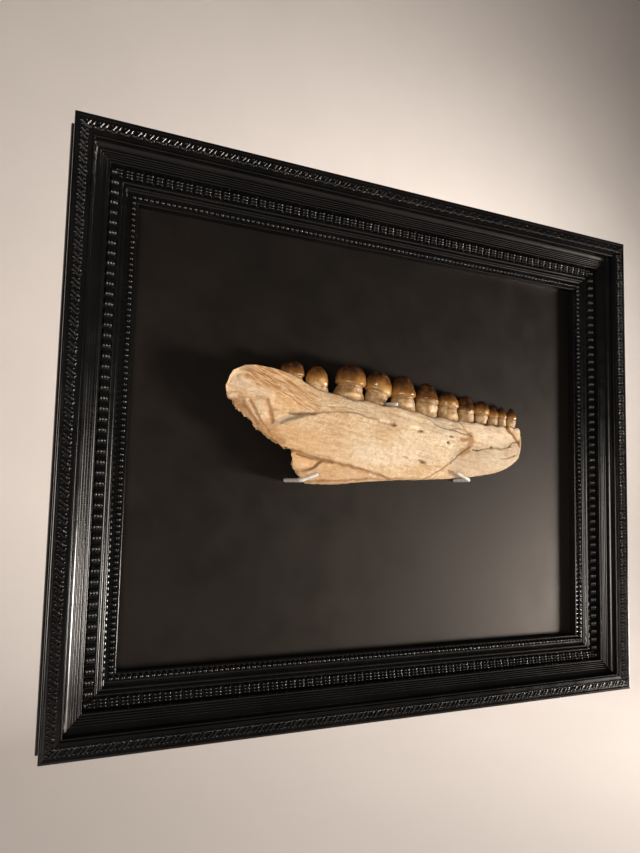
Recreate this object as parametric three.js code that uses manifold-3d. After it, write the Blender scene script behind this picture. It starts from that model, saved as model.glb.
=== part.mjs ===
// Fossil jaw of a blunt-toothed mosasaur, pinned to a black panel in a deep black picture frame.
// Millimetres. +Z is up, +X runs to the front of the jaw, the wall is y = 0 and the viewer is at -Y.
import * as THREE from 'three';
import { mergeVertices } from 'three/addons/utils/BufferGeometryUtils.js';
import Module from 'manifold-3d';

const wasm = await Module();
wasm.setup();

// Gap kept between pieces that touch
const GAP = 0.3;

// Picture frame: outer size, width of a rail, and heights above the wall
const FRAME_W = 549;
const FRAME_H = 449;
const RAIL_W = 52;
const LIP_HEIGHT = 38;
const FLANGE_HEIGHT = 15;
const FLANGE_THICK = 3.5;
const FLANGE_INSET = 0.5;
const FOOT_INSET = 9;
const REBATE_INSET = 46;
const SIGHT_BACK_HEIGHT = 11.3;

// Hollow outer side between the flange and the lip: inset of its top end, and drops below the lip
const SIDE_INSET = 1.5;
const SIDE_DROP = 3.5;
const SIDE_HOLLOW_DROP = 8;
const LIP_EDGE = 2;

// Front of the moulding, from the outer lip to the sight edge: where each run ends, as inset and
// height above the wall, and how far it swells (+) or hollows (-) between its ends
const MOULDING_RUNS = [
  { name: 'rounded lip', inset: 2.6, height: 38.4, swell: 0.5 },
  { name: 'leaf band', inset: 12.8, height: 37.2, swell: 1.6 },
  { name: 'quirk', inset: 13.3, height: 36.0, swell: 0 },
  { name: 'fillet', inset: 15.0, height: 35.6, swell: 0.6 },
  { name: 'wide cove', inset: 24.2, height: 28.6, swell: -2.6 },
  { name: 'first reed', inset: 26.2, height: 28.0, swell: 0.9 },
  { name: 'second reed', inset: 28.2, height: 26.8, swell: 0.9 },
  { name: 'groove', inset: 28.8, height: 22.8, swell: 0 },
  { name: 'gadroon row', inset: 36.2, height: 21.6, swell: 2.8 },
  { name: 'third reed', inset: 39.6, height: 21.0, swell: 1.1 },
  { name: 'fourth reed', inset: 42.6, height: 20.2, swell: 1.0 },
  { name: 'groove floor', inset: 45.4, height: 19.4, swell: -0.4 },
  { name: 'pearl row', inset: 50.4, height: 19.2, swell: 3.4 },
  { name: 'sight fillet', inset: RAIL_W, height: 18.4, swell: 0.4 },
];

// Boards behind the sight edge
const PANEL_FRONT = 11;
const PANEL_THICK = 4;
const BOARD_CLEARANCE = 0.5;

// Jaw: edges of the bone in side view as [x, z], how far out its outer side lies as [x, y], and its
// thickness as [x, thickness]
const TOP_EDGE = [
  [-152.5, 38], [-147, 51], [-130, 56.5], [-104, 53.4], [-74, 42.3], [-38, 38.2],
  [-2, 34.6], [8, 34.2], [45, 29], [96, 27], [146, 26], [154, 21],
];
const BOTTOM_EDGE = [
  [-152.5, 27], [-138, 8], [-115, -14], [-98, -28], [-86, -33.6], [-62, -34], [-12, -29.8],
  [74, -24.6], [117, -18.3], [145, -6], [154, 18],
];
const OUTER_SIDE = [
  [-152.5, -33], [-130, -36.5], [-80, -37.6], [-20, -38.6],
  [60, -33.6], [120, -28.6], [148, -23.6], [154, -17.6],
];
const THICKNESS = [
  [-152.5, 6], [-140, 11], [-112, 17], [-82, 25], [-20, 26], [60, 21], [120, 16], [148, 11], [154, 5],
];
const REAR_X = TOP_EDGE[0][0];
const FRONT_X = TOP_EDGE[TOP_EDGE.length - 1][0];
const STATIONS = 46;
const STATION_CROWDING = 0.1;
const SECTION_POINTS = 28;
const SECTION_ROUND_Z = 0.6;
const OUTER_ROUND_Y = 0.7;
const INNER_ROUND_Y = 0.45;
const RIM_ROUND_Y = 0.3;

// Rear blade: its broken end slants back from the outer side, and its crest lies near that side. Both fade
// out between these two places, and the outer rim gets sharper there
const BLADE_X = -85;
const BODY_X = -40;
const END_SLANT = 0.5;
const CREST_SHIFT = 6;

// Hollow on the outer side of the rear blade: middle, half length, half height and depth
const HOLLOW = { x: -112, z: 19, length: 26, height: 9, depth: 4 };

// Broken rear edge below the blade and behind the splenial, as [x, z] on the outer side
const REAR_BREAK = [
  [-157, 38], [-152.5, 30.4], [-147, 24.8], [-138.6, 18.2], [-127.6, 8], [-115.6, -0.2],
  [-106.4, -4.6], [-97, -7.4], [-96.5, -22.8], [-89.5, -28], [-87, -33.2], [-86, -40],
];
const REAR_FACE_Y = -37;

// Glued break across the bone and the upper border of the splenial, as [x, z] on the outer side
const BREAK_LINE = [
  [70.8, 60], [70.2, 29], [69.3, 27.3], [76.7, 17.8], [82.9, 13.7],
  [81.3, 4.5], [72.4, -1.3], [53.9, -14.7], [28, -30.6],
];
const BREAK_FACE_Y = -32;
const BREAK_SLANT = 0.38;
const SPLENIAL_BORDER = [[-100, -7.6], [-71.7, -14.2], [-34.4, -20.8], [-10, -26.6], [6, -31]];

// Reach of the cuts past the bone: in depth, along it and below it
const CUT_DEPTH = 60;
const CUT_FAR_X = 200;
const CUT_LOW_Z = -90;

// Crowns in side view from the rim up: [radius, height] as shares of half the crown's width and of its height
const CROWN = {
  bulb: [[0.94, 0], [1, 0.12], [0.99, 0.34], [0.92, 0.58], [0.74, 0.8], [0.46, 0.95]],
  cone: [[0.94, 0], [1, 0.09], [0.9, 0.32], [0.76, 0.58], [0.6, 0.8], [0.38, 0.95]],
  dome: [[0.93, 0], [1, 0.12], [0.96, 0.36], [0.83, 0.62], [0.6, 0.84], [0.34, 0.96]],
  peg: [[0.94, 0], [1, 0.12], [0.9, 0.36], [0.72, 0.62], [0.48, 0.84], [0.24, 0.97]],
};
const NECK_SHARE = 0.8;
const ROOT_TAPER = 0.55;
const ROOT_DEPTH = 8;
const ROOT_STRAIGHT = 3;
const SHIFT_SHARE = 0.55;
const TOOTH_SIDES = 16;

// Line that the teeth stand on, as [x, y], and how thick crowns and roots are as a share of their width
const TOOTH_LINE = [[-94, -24.8], [-39.7, -25.5], [39.2, -23.6], [140.6, -18.8]];
const CROWN_THICKNESS = 0.92;
const ROOT_THICKNESS = 0.66;

// Teeth from rear to front: place along the jaw, height of the tip, width of the crown, crown, and where
// it isn't 0 how far the base lies below the bone's top edge. The rim is the share of the height where
// the crown starts. Neck and foot are the root's widths as shares of the crown's, and the foot lies off
// the crown's axis by its shift
const TEETH = [
  { x: -94, tip: 64.9, width: 20.8, sunk: 10, crown: 'bulb', rim: 0.5, neck: 0.88, foot: 0.92, shift: 0 },
  { x: -71.4, tip: 62.2, width: 19.2, sunk: 4, crown: 'bulb', rim: 0.36, neck: 0.94, foot: 0.86, shift: 1.6 },
  { x: -39.7, tip: 67, width: 26.6, crown: 'bulb', rim: 0.4, neck: 0.86, foot: 1.12, shift: -2.4 },
  { x: -12.4, tip: 64, width: 23.6, crown: 'bulb', rim: 0.36, neck: 0.84, foot: 0.8, shift: -2.6 },
  { x: 12.8, tip: 63.3, width: 24.8, crown: 'cone', rim: 0.36, neck: 0.86, foot: 0.94, shift: 0.8 },
  { x: 39.2, tip: 58.4, width: 22.9, crown: 'cone', rim: 0.44, neck: 0.94, foot: 0.96, shift: -0.6 },
  { x: 63, tip: 53.1, width: 20.2, crown: 'dome', rim: 0.45, neck: 0.9, foot: 1.08, shift: 0.2 },
  { x: 83.8, tip: 51.5, width: 17.2, crown: 'dome', rim: 0.38, neck: 0.94, foot: 1, shift: 0.3 },
  { x: 103.1, tip: 48.1, width: 15.8, crown: 'dome', rim: 0.42, neck: 0.84, foot: 0.72, shift: -0.4 },
  { x: 117.3, tip: 44.9, width: 11, crown: 'peg', rim: 0.42, neck: 0.9, foot: 0.94, shift: -0.2 },
  { x: 128.6, tip: 44.8, width: 9.6, crown: 'peg', rim: 0.44, neck: 0.92, foot: 0.98, shift: 0 },
  { x: 140.6, tip: 44.1, width: 10.4, crown: 'peg', rim: 0.44, neck: 0.94, foot: 0.9, shift: -0.4 },
];
const FIRST_FRONT_TOOTH = 7;

// Pins that hold the jaw: rod size, and the path of each from the panel outwards
const PIN_R = 1.6;
const PIN_SIDES = 8;
const PANEL_Y = -PANEL_FRONT - GAP;
const PINS = {
  pin_lower_rear: [[-91, PANEL_Y, -31.7], [-91, -36, -31.9], [-89.4, -40.2, -31.5], [-77.2, -41, -26.8]],
  pin_lower_front: [[80, PANEL_Y, -26.3], [80, -27.5, -26.3], [78.8, -32.6, -25.8], [65.5, -35, -20.7]],
  pin_upper: [[-1.6, PANEL_Y, 37.6], [-1.6, -25, 36.6], [-1.6, -38, 35.5]],
};
const PIN_STEPS = { pin_lower_rear: 14, pin_lower_front: 14, pin_upper: 4 };

// Finishes
const FRAME_BLACK = new THREE.MeshStandardMaterial({ color: 0x1c1b1b, roughness: 0.38, metalness: 0 });
const PANEL_BLACK = new THREE.MeshStandardMaterial({ color: 0x161412, roughness: 0.6, metalness: 0 });
const BACK_BROWN = new THREE.MeshStandardMaterial({ color: 0x8a6a48, roughness: 0.85, metalness: 0 });
const FOSSIL_BONE = new THREE.MeshStandardMaterial({ color: 0xd6b88f, roughness: 0.75, metalness: 0 });
const PIN_GREY = new THREE.MeshStandardMaterial({ color: 0xd8d6d2, roughness: 0.4, metalness: 0.3 });

const part = new THREE.Group();

function addMesh(name, geometry, material) {
  const mesh = new THREE.Mesh(geometry, material);
  mesh.name = name;
  part.add(mesh);
  return mesh;
}

// Smooth curve through [x, value] points that does not overshoot them
function smoothCurve(points) {
  const slopes = points.slice(1).map(([x, v], i) => (v - points[i][1]) / (x - points[i][0]));
  const tangents = points.map((_, i) => {
    const before = slopes[Math.max(i - 1, 0)];
    const after = slopes[Math.min(i, slopes.length - 1)];
    return before * after <= 0 ? 0 : (2 * before * after) / (before + after);
  });
  return (x) => {
    let i = 0;
    while (i < points.length - 2 && x > points[i + 1][0]) i += 1;
    const [x0, v0] = points[i];
    const [x1, v1] = points[i + 1];
    const span = x1 - x0;
    const t = THREE.MathUtils.clamp((x - x0) / span, 0, 1);
    const rise = t * t * (3 - 2 * t);
    const bend = t * (1 - t) * ((1 - t) * tangents[i] - t * tangents[i + 1]);
    return v0 + (v1 - v0) * rise + span * bend;
  };
}

const topEdge = smoothCurve(TOP_EDGE);
const bottomEdge = smoothCurve(BOTTOM_EDGE);
const outerSide = smoothCurve(OUTER_SIDE);
const thickness = smoothCurve(THICKNESS);
const toothLine = smoothCurve(TOOTH_LINE);

// Cross-section of a rail as inset and height above the wall, from its foot round to the rebate
function mouldingProfile() {
  const profile = new THREE.Shape();
  profile.moveTo(FOOT_INSET, 0);
  profile.lineTo(FOOT_INSET, FLANGE_HEIGHT);
  profile.lineTo(FLANGE_INSET, FLANGE_HEIGHT);
  profile.lineTo(FLANGE_INSET, FLANGE_HEIGHT + FLANGE_THICK);
  profile.quadraticCurveTo(FOOT_INSET, LIP_HEIGHT - SIDE_HOLLOW_DROP, SIDE_INSET, LIP_HEIGHT - SIDE_DROP);
  profile.lineTo(0, LIP_HEIGHT - LIP_EDGE);
  profile.lineTo(0, LIP_HEIGHT);
  let inset = 0;
  let height = LIP_HEIGHT;
  for (const run of MOULDING_RUNS) {
    const along = new THREE.Vector2(run.inset - inset, run.height - height).normalize();
    const middle = new THREE.Vector2((inset + run.inset) / 2, (height + run.height) / 2);
    const control = middle.addScaledVector(new THREE.Vector2(-along.y, along.x), 2 * run.swell);
    if (run.swell === 0) profile.lineTo(run.inset, run.height);
    else profile.quadraticCurveTo(control.x, control.y, run.inset, run.height);
    inset = run.inset;
    height = run.height;
  }
  profile.lineTo(RAIL_W, SIGHT_BACK_HEIGHT);
  profile.lineTo(REBATE_INSET, SIGHT_BACK_HEIGHT);
  profile.lineTo(REBATE_INSET, 0);
  return profile;
}

// Mitred rail that lies on the side of the frame that the turn about Y faces
function addRail(name, length, reach, turn) {
  const geometry = new THREE.ExtrudeGeometry(mouldingProfile(), {
    depth: length, steps: 1, bevelEnabled: false, curveSegments: 4,
  });
  const position = geometry.getAttribute('position');
  for (let i = 0; i < position.count; i += 1) {
    const inset = position.getX(i);
    const height = position.getY(i);
    const end = position.getZ(i) < length / 2 ? 1 : -1;
    position.setXYZ(i, end * (length / 2 - inset - GAP), -height, reach - inset);
  }
  geometry.computeVertexNormals();
  addMesh(name, geometry, FRAME_BLACK).rotation.y = turn;
}

function addFrame() {
  addRail('frame_rail_top', FRAME_W, FRAME_H / 2, 0);
  addRail('frame_rail_bottom', FRAME_W, FRAME_H / 2, Math.PI);
  addRail('frame_rail_left', FRAME_H, FRAME_W / 2, -Math.PI / 2);
  addRail('frame_rail_right', FRAME_H, FRAME_W / 2, Math.PI / 2);
}

// Black panel behind the jaw, and the board that closes the frame against the wall
function addBoards() {
  const width = FRAME_W - 2 * (REBATE_INSET + BOARD_CLEARANCE);
  const height = FRAME_H - 2 * (REBATE_INSET + BOARD_CLEARANCE);
  const boardThick = PANEL_FRONT - PANEL_THICK - GAP;
  const panel = addMesh('backing_panel', new THREE.BoxGeometry(width, PANEL_THICK, height), PANEL_BLACK);
  panel.position.y = -PANEL_FRONT + PANEL_THICK / 2;
  const board = addMesh('back_board', new THREE.BoxGeometry(width, boardThick, height), BACK_BROWN);
  board.position.y = -boardThick / 2;
}

function toSolid(geometry) {
  const bare = geometry.clone();
  bare.deleteAttribute('normal');
  bare.deleteAttribute('uv');
  const merged = mergeVertices(bare, 1e-4);
  return new wasm.Manifold(new wasm.Mesh({
    numProp: 3,
    vertProperties: new Float32Array(merged.getAttribute('position').array),
    triVerts: new Uint32Array(merged.getIndex().array),
  }));
}

// Largest closed surface of a solid, as a geometry
function toGeometry(solid) {
  const pieces = solid.decompose().sort((a, b) => b.volume() - a.volume());
  const mesh = pieces[0].getMesh();
  const geometry = new THREE.BufferGeometry();
  geometry.setAttribute('position', new THREE.BufferAttribute(mesh.vertProperties, 3));
  geometry.setIndex(new THREE.BufferAttribute(mesh.triVerts, 1));
  geometry.computeVertexNormals();
  return geometry;
}

function signedPower(value, power) {
  return Math.sign(value) * Math.abs(value) ** power;
}

// Point of the bone's surface at station x and angle round its section, 0 at the outer side
function bonePoint(x, angle) {
  const low = bottomEdge(x);
  const high = topEdge(x);
  const half = thickness(x) / 2;
  const outer = outerSide(x);
  const outward = Math.cos(angle);
  const upward = Math.sin(angle);
  const blade = THREE.MathUtils.clamp((BODY_X - x) / (BODY_X - BLADE_X), 0, 1);
  const z = (low + high) / 2 + ((high - low) / 2) * signedPower(upward, SECTION_ROUND_Z);
  const rimRound = THREE.MathUtils.lerp(RIM_ROUND_Y, OUTER_ROUND_Y, blade);
  const outerRound = upward > 0 ? rimRound : OUTER_ROUND_Y;
  const round = outward > 0 ? outerRound : INNER_ROUND_Y;
  let y = outer + half - half * signedPower(outward, round);
  y -= blade * CREST_SHIFT * Math.max(upward, 0) ** 2 * (1 - Math.max(outward, 0));
  const slanted = x + blade * END_SLANT * (y - outer);
  if (outward > 0) {
    const dx = (x - HOLLOW.x) / HOLLOW.length;
    const dz = (z - HOLLOW.z) / HOLLOW.height;
    y += HOLLOW.depth * outward * Math.exp(-dx * dx - dz * dz);
  }
  return new THREE.Vector3(slanted, y, z);
}

// Places along the bone, closer together towards its ends
function boneStations() {
  const stations = [];
  for (let i = 0; i <= STATIONS; i += 1) {
    const share = i / STATIONS;
    const eased = share - STATION_CROWDING * Math.sin(2 * Math.PI * share);
    stations.push(REAR_X + (FRONT_X - REAR_X) * eased);
  }
  return stations;
}

// Closed loft through the bone's sections
function boneGeometry() {
  const stations = boneStations();
  const positions = [];
  const index = [];
  for (const x of stations) {
    for (let k = 0; k < SECTION_POINTS; k += 1) {
      positions.push(...bonePoint(x, (2 * Math.PI * k) / SECTION_POINTS).toArray());
    }
  }
  for (let i = 0; i + 1 < stations.length; i += 1) {
    for (let k = 0; k < SECTION_POINTS; k += 1) {
      const next = (k + 1) % SECTION_POINTS;
      const a = i * SECTION_POINTS + k;
      const b = i * SECTION_POINTS + next;
      const c = a + SECTION_POINTS;
      const d = b + SECTION_POINTS;
      index.push(a, c, b, b, c, d);
    }
  }
  const last = (stations.length - 1) * SECTION_POINTS;
  for (let k = 1; k + 1 < SECTION_POINTS; k += 1) {
    index.push(0, k, k + 1);
    index.push(last, last + k + 1, last + k);
  }
  const geometry = new THREE.BufferGeometry();
  geometry.setAttribute('position', new THREE.Float32BufferAttribute(positions, 3));
  geometry.setIndex(index);
  return geometry;
}

// Solid of an [x, z] outline at faceY that runs through the jaw, slanted in x by its depth from there
function throughCut(outline, faceY, slant) {
  const shape = new THREE.Shape(outline.map(([x, z]) => new THREE.Vector2(x, z)));
  const geometry = new THREE.ExtrudeGeometry(shape, { depth: 2 * CUT_DEPTH, steps: 1, bevelEnabled: false });
  geometry.rotateX(Math.PI / 2);
  const position = geometry.getAttribute('position');
  for (let i = 0; i < position.count; i += 1) {
    const y = position.getY(i) + CUT_DEPTH + faceY;
    position.setXYZ(i, position.getX(i) + slant * (y - faceY), y, position.getZ(i));
  }
  return toSolid(geometry);
}

// Region behind the broken rear edge
function rearCut() {
  const [, topZ] = REAR_BREAK[0];
  const [lowX] = REAR_BREAK[REAR_BREAK.length - 1];
  const behind = [[lowX, CUT_LOW_Z], [-CUT_FAR_X, CUT_LOW_Z], [-CUT_FAR_X, topZ]];
  return throughCut([...REAR_BREAK, ...behind], REAR_FACE_Y, END_SLANT);
}

// Region in front of the glued break, and the region below the splenial's border, grown by a margin
function frontCut(margin) {
  const line = BREAK_LINE.map(([x, z]) => [x - margin, z]);
  const ahead = [[CUT_FAR_X, CUT_LOW_Z], [CUT_FAR_X, line[0][1]]];
  return throughCut([...line, ...ahead], BREAK_FACE_Y, BREAK_SLANT);
}

function splenialCut(margin) {
  const line = SPLENIAL_BORDER.map(([x, z]) => [x, z + margin]);
  const below = [[line[line.length - 1][0], CUT_LOW_Z], [line[0][0], CUT_LOW_Z]];
  return throughCut([...line, ...below], BREAK_FACE_Y, 0);
}

// Radii of a tooth at shares of its height, from the end of its root in the bone to just below its tip
function toothProfile(tooth, height) {
  const root = [
    [tooth.foot * ROOT_TAPER, -ROOT_DEPTH / height],
    [tooth.foot, -ROOT_STRAIGHT / height],
    [tooth.foot, 0],
    [tooth.neck, NECK_SHARE * tooth.rim],
  ];
  const crown = CROWN[tooth.crown].map(([radius, share]) => [radius, tooth.rim + share * (1 - tooth.rim)]);
  return [...root, ...crown];
}

// Tooth turned about its own axis, with its root shifted along the jaw and tapering down into the bone
function toothSolid(tooth) {
  const base = topEdge(tooth.x) - (tooth.sunk ?? 0);
  const height = tooth.tip - base;
  const rings = toothProfile(tooth, height).map(
    ([radius, share]) => new THREE.Vector2((radius * tooth.width) / 2, base + share * height),
  );
  const outline = [new THREE.Vector2(0, rings[0].y), ...rings, new THREE.Vector2(0, tooth.tip)];
  const geometry = new THREE.LatheGeometry(outline, TOOTH_SIDES);
  geometry.rotateX(Math.PI / 2);
  const position = geometry.getAttribute('position');
  for (let i = 0; i < position.count; i += 1) {
    const share = (position.getZ(i) - base) / height;
    const shift = tooth.shift * (1 - THREE.MathUtils.smoothstep(share, 0, SHIFT_SHARE));
    const crownward = THREE.MathUtils.smoothstep(share, 0, tooth.rim);
    const depth = THREE.MathUtils.lerp(ROOT_THICKNESS, CROWN_THICKNESS, crownward);
    position.setX(i, position.getX(i) + shift);
    position.setY(i, position.getY(i) * depth);
  }
  geometry.translate(tooth.x, toothLine(tooth.x), 0);
  return toSolid(geometry);
}

function withTeeth(bone, teeth) {
  return teeth.reduce((solid, tooth) => solid.add(toothSolid(tooth)), bone);
}

function addJaw() {
  const bone = toSolid(boneGeometry()).subtract(rearCut());
  const dentary = bone.subtract(splenialCut(GAP));
  const rear = withTeeth(dentary, TEETH.slice(0, FIRST_FRONT_TOOTH)).subtract(frontCut(GAP));
  const front = withTeeth(dentary, TEETH.slice(FIRST_FRONT_TOOTH)).intersect(frontCut(0));
  const splenial = bone.intersect(splenialCut(0));
  addMesh('dentary_rear', toGeometry(rear), FOSSIL_BONE);
  addMesh('dentary_front', toGeometry(front), FOSSIL_BONE);
  addMesh('splenial', toGeometry(splenial), FOSSIL_BONE);
}

function addPins() {
  const round = new THREE.Shape();
  round.absarc(0, 0, PIN_R, 0, 2 * Math.PI);
  for (const [name, points] of Object.entries(PINS)) {
    const path = new THREE.CatmullRomCurve3(points.map((p) => new THREE.Vector3(...p)));
    const geometry = new THREE.ExtrudeGeometry(round, {
      extrudePath: path, steps: PIN_STEPS[name], bevelEnabled: false, curveSegments: PIN_SIDES,
    });
    addMesh(name, geometry, PIN_GREY);
  }
}

addFrame();
addBoards();
addJaw();
addPins();

export default part;
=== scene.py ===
import math

import bmesh
import bpy
import numpy as np
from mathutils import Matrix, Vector, noise
from mathutils.bvhtree import BVHTree


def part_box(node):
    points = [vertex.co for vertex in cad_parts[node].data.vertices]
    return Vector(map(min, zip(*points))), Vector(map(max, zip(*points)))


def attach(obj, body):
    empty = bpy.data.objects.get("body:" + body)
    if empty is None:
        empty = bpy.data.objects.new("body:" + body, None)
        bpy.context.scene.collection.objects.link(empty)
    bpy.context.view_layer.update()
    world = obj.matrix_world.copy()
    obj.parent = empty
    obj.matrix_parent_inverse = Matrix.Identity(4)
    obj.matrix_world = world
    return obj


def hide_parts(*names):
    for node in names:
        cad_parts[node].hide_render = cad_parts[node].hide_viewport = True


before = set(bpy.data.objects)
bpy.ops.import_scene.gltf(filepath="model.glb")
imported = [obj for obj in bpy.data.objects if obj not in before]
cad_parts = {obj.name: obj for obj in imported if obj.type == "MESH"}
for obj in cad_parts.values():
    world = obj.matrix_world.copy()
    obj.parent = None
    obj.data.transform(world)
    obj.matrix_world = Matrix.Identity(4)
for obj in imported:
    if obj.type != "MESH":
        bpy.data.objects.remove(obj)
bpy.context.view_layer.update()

# Lengths below are in millimetres in the part's own frame, and this turns them into metres.
MM = 0.001

# Camera, in metres and degrees
CAMERA_PLACE = (-0.3442, -0.5721, -0.0452)
CAMERA_TURN = (95.43, -1.40, -26.98)
CAMERA_LENS = 31.59
CAMERA_SENSOR = 36.0

# Picture frame. An inset is measured from the outer edge, a height from the wall.
FRAME_W = 549.0
FRAME_H = 449.0
MITRE_GAP = 0.12
LIP_HEIGHT = 38.0
FLANGE_HEIGHT = 15.0
FLANGE_THICK = 3.5
FLANGE_INSET = 0.5
FLANGE_EASE = 0.4
FOOT_INSET = 9.0
REBATE_INSET = 46.0
SIGHT_INSET = 52.0
SIGHT_BACK_HEIGHT = 11.3
# Hollow outer side: the point that it bends towards and its end below the lip, as (inset, height)
SIDE_BEND = (9.0, 30.0)
SIDE_END = (1.5, 34.5)
LIP_START = [(0.4, 35.4), (0, 36), (0, LIP_HEIGHT)]
SIDE_STEPS = 14
RUN_STEPS = 9
# Each run ends at an inset and a height, and bows out by its swell.
MOULDING_RUNS = {
    "rounded lip": (2.6, 38.4, 0.5),
    "leaf band": (12.8, 37.2, -0.2),
    "quirk": (13.3, 36.0, 0.0),
    "fillet": (15.0, 35.6, 0.6),
    "wide cove": (19.2, 29.4, -1.5),
    "first rib": (20.9, 28.9, 0.4),
    "second rib": (22.6, 28.6, 0.4),
    "third rib": (24.3, 28.4, 0.4),
    "first reed": (26.2, 28.0, 0.7),
    "second reed": (28.2, 26.8, 0.9),
    "outer groove": (28.8, 22.8, 0.0),
    "gadroon row": (36.2, 21.6, -0.2),
    "third reed": (39.6, 21.0, 1.1),
    "fourth reed": (42.6, 20.2, 1.0),
    "groove floor": (45.4, 19.4, -0.4),
    "pearl row": (50.4, 19.2, -0.2),
    "sight fillet": (52.0, 18.4, 0.4),
}
# Ornament: pitch along the rail, height, share of the run that it covers, and points of each leaf and gadroon
LEAF_PITCH = 9.1
LEAF_RELIEF = 0.95
LEAF_SHARES = (0.06, 0.78)
LEAF_FADE = 0.06
LEAF_COLUMNS = 24
LEAF_ROWS = 20
GADROON_PITCH = 7.72
GADROON_RELIEF = 2.7
GADROON_HALF = 0.43
GADROON_WAIST = 0.66
GADROON_COLUMNS = 13
GADROON_ROWS = 25
PEARL_PITCH = 4.36
PEARL_RADIUS = 1.95
PEARL_SINK = 0.9
PEARL_SIDES = 12
PEARL_STEPS = 8
STRIP_DEPTH = 1.0

# Jaw outline, as (x, z) seen from the front
TOP_EDGE = [(-152.5, 38), (-147, 51), (-130, 56.5), (-104, 53.4), (-74, 42.3), (-38, 38.2), (-2, 34.6),
            (8, 34.2), (45, 29), (96, 27), (146, 26), (154, 21)]
BOTTOM_EDGE = [(-152.5, 27), (-138, 8), (-115, -14), (-98, -28), (-86, -33.6), (-62, -34), (-12, -29.8),
               (74, -24.6), (117, -18.3), (145, -6), (154, 18)]
# Outer side as (x, y), and thickness
OUTER_SIDE = [(-152.5, -33), (-130, -36.5), (-80, -37.6), (-20, -38.6), (60, -33.6), (120, -28.6),
              (148, -23.6), (154, -17.6)]
THICKNESS = [(-152.5, 6), (-140, 11), (-112, 17), (-82, 25), (-20, 26), (60, 21), (120, 16), (148, 11),
             (154, 5)]
# How square the section is, and how full its outer side, its inner side and its upper rim are
ROUND_POWER = 3.33
OUTER_POWER = 0.35
INNER_POWER = 0.225
RIM_POWER = 0.15
# The blade reaches from its end to BLADE_X and has passed into the body at BODY_X.
BLADE_X = -85.0
BODY_X = -40.0
END_SLANT = 0.5
CREST_SHIFT = 6.0
# Points of the rings round the bone, and their density on the inner side
STATION_STEP = 0.62
SIDE_POINTS = 500
RING_POINTS = 250
INNER_SHARE = 0.38
# Waves of the upper and lower edge
EDGE_WAVE = 0.35
EDGE_LUMPS = 5.0
# Lean of the streaks on the blade and of the grain elsewhere, in degrees
STREAK_LEAN = -24.0
GRAIN_LEAN = -9.0
# Streaked band of the blade, as (x, z), and its half width
STREAK_BAND = [(-131, 50), (-108, 43), (-82, 32)]
STREAK_WIDTH = 9.0
# Where the rough rim of the blade's end starts and is full
ROUGH_RIM = (-136, -146)

# Sockets: teeth that stand behind the crest of the blade, dip of the upper edge at the others and its half
# width as a share of the tooth's, and reach and width of the painted shade round a tooth
CREST_TEETH = 2
SOCKET_DIP = 1.5
SOCKET_SHARE = 0.36
SOCKET_REACH = 3.0
SOCKET_SHADE_WIDTH = 0.8

# Breaks that part the jaw, as (x, z) on its outer side
REAR_BREAK = [(-157, 38), (-152.5, 30.4), (-147, 24.8), (-138.6, 18.2), (-127.6, 8), (-115.6, -0.2),
              (-106.4, -4.6), (-97, -7.4), (-96.5, -22.8), (-89.5, -28), (-87, -33.2), (-86, -40)]
REAR_FACE_Y = -37.0
BREAK_LINE = [(70.8, 60), (70.2, 29), (69.3, 27.3), (76.7, 17.8), (82.9, 13.7), (81.3, 4.5), (72.4, -1.3),
              (53.9, -14.7), (28, -30.6)]
BREAK_FACE_Y = -32.0
BREAK_SLANT = 0.38
SPLENIAL_BORDER = [(-100, -7.6), (-71.7, -14.2), (-34.4, -20.8), (-10, -26.6), (6, -31)]
# Broken faces: depths they run between, size of their facets and height of their roughness
CUT_DEPTHS = (-52.0, 4.0)
CUT_STEP = 1.1
CUT_ROUGHNESS = 0.6
REAR_ROUGHNESS = 2.8

# Line that the teeth stand on, as (x, y)
TOOTH_LINE = [(-94, -24.8), (-39.7, -25.5), (39.2, -23.6), (140.6, -18.8)]
# Teeth: place, tip height, crown width, depth of the base below the edge, crown form, share of the height
# where the crown starts, neck and foot as shares of the crown's width, shift of the foot along x, drop of the
# rim towards the front as a share of the height, and darkness of the enamel
TEETH = [
    (-94, 64.9, 20.8, 10, "bulb", 0.5, 0.88, 0.92, 0.0, 0.0, 0.58),
    (-71.4, 62.2, 19.2, 4, "bulb", 0.36, 0.94, 0.86, 1.6, 0.0, 0.26),
    (-39.7, 67, 26.6, 0, "bulb", 0.4, 0.86, 1.12, -2.4, 0.04, 0.48),
    (-12.4, 64, 23.6, 0, "bulb", 0.36, 0.84, 0.8, -2.6, 0.12, 0.36),
    (12.8, 63.3, 24.8, 0, "cone", 0.36, 0.86, 0.94, 0.8, 0.0, 0.52),
    (39.2, 58.4, 22.9, 0, "cone", 0.44, 0.94, 0.96, -0.6, 0.07, 0.7),
    (63, 53.1, 20.2, 0, "dome", 0.45, 0.9, 1.08, 0.2, 0.03, 0.36),
    (83.8, 51.5, 17.2, 0, "dome", 0.38, 0.94, 1.0, 0.3, 0.04, 0.8),
    (103.1, 48.1, 15.8, 0, "dome", 0.42, 0.84, 0.72, -0.4, 0.02, 0.4),
    (117.3, 44.9, 11, 0, "peg", 0.42, 0.9, 0.94, -0.2, 0.0, 0.5),
    (128.6, 44.8, 9.6, 0, "peg", 0.44, 0.92, 0.98, 0.0, 0.0, 0.58),
    (140.6, 44.1, 10.4, 0, "peg", 0.44, 0.94, 0.9, -0.4, 0.0, 0.55),
]
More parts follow.
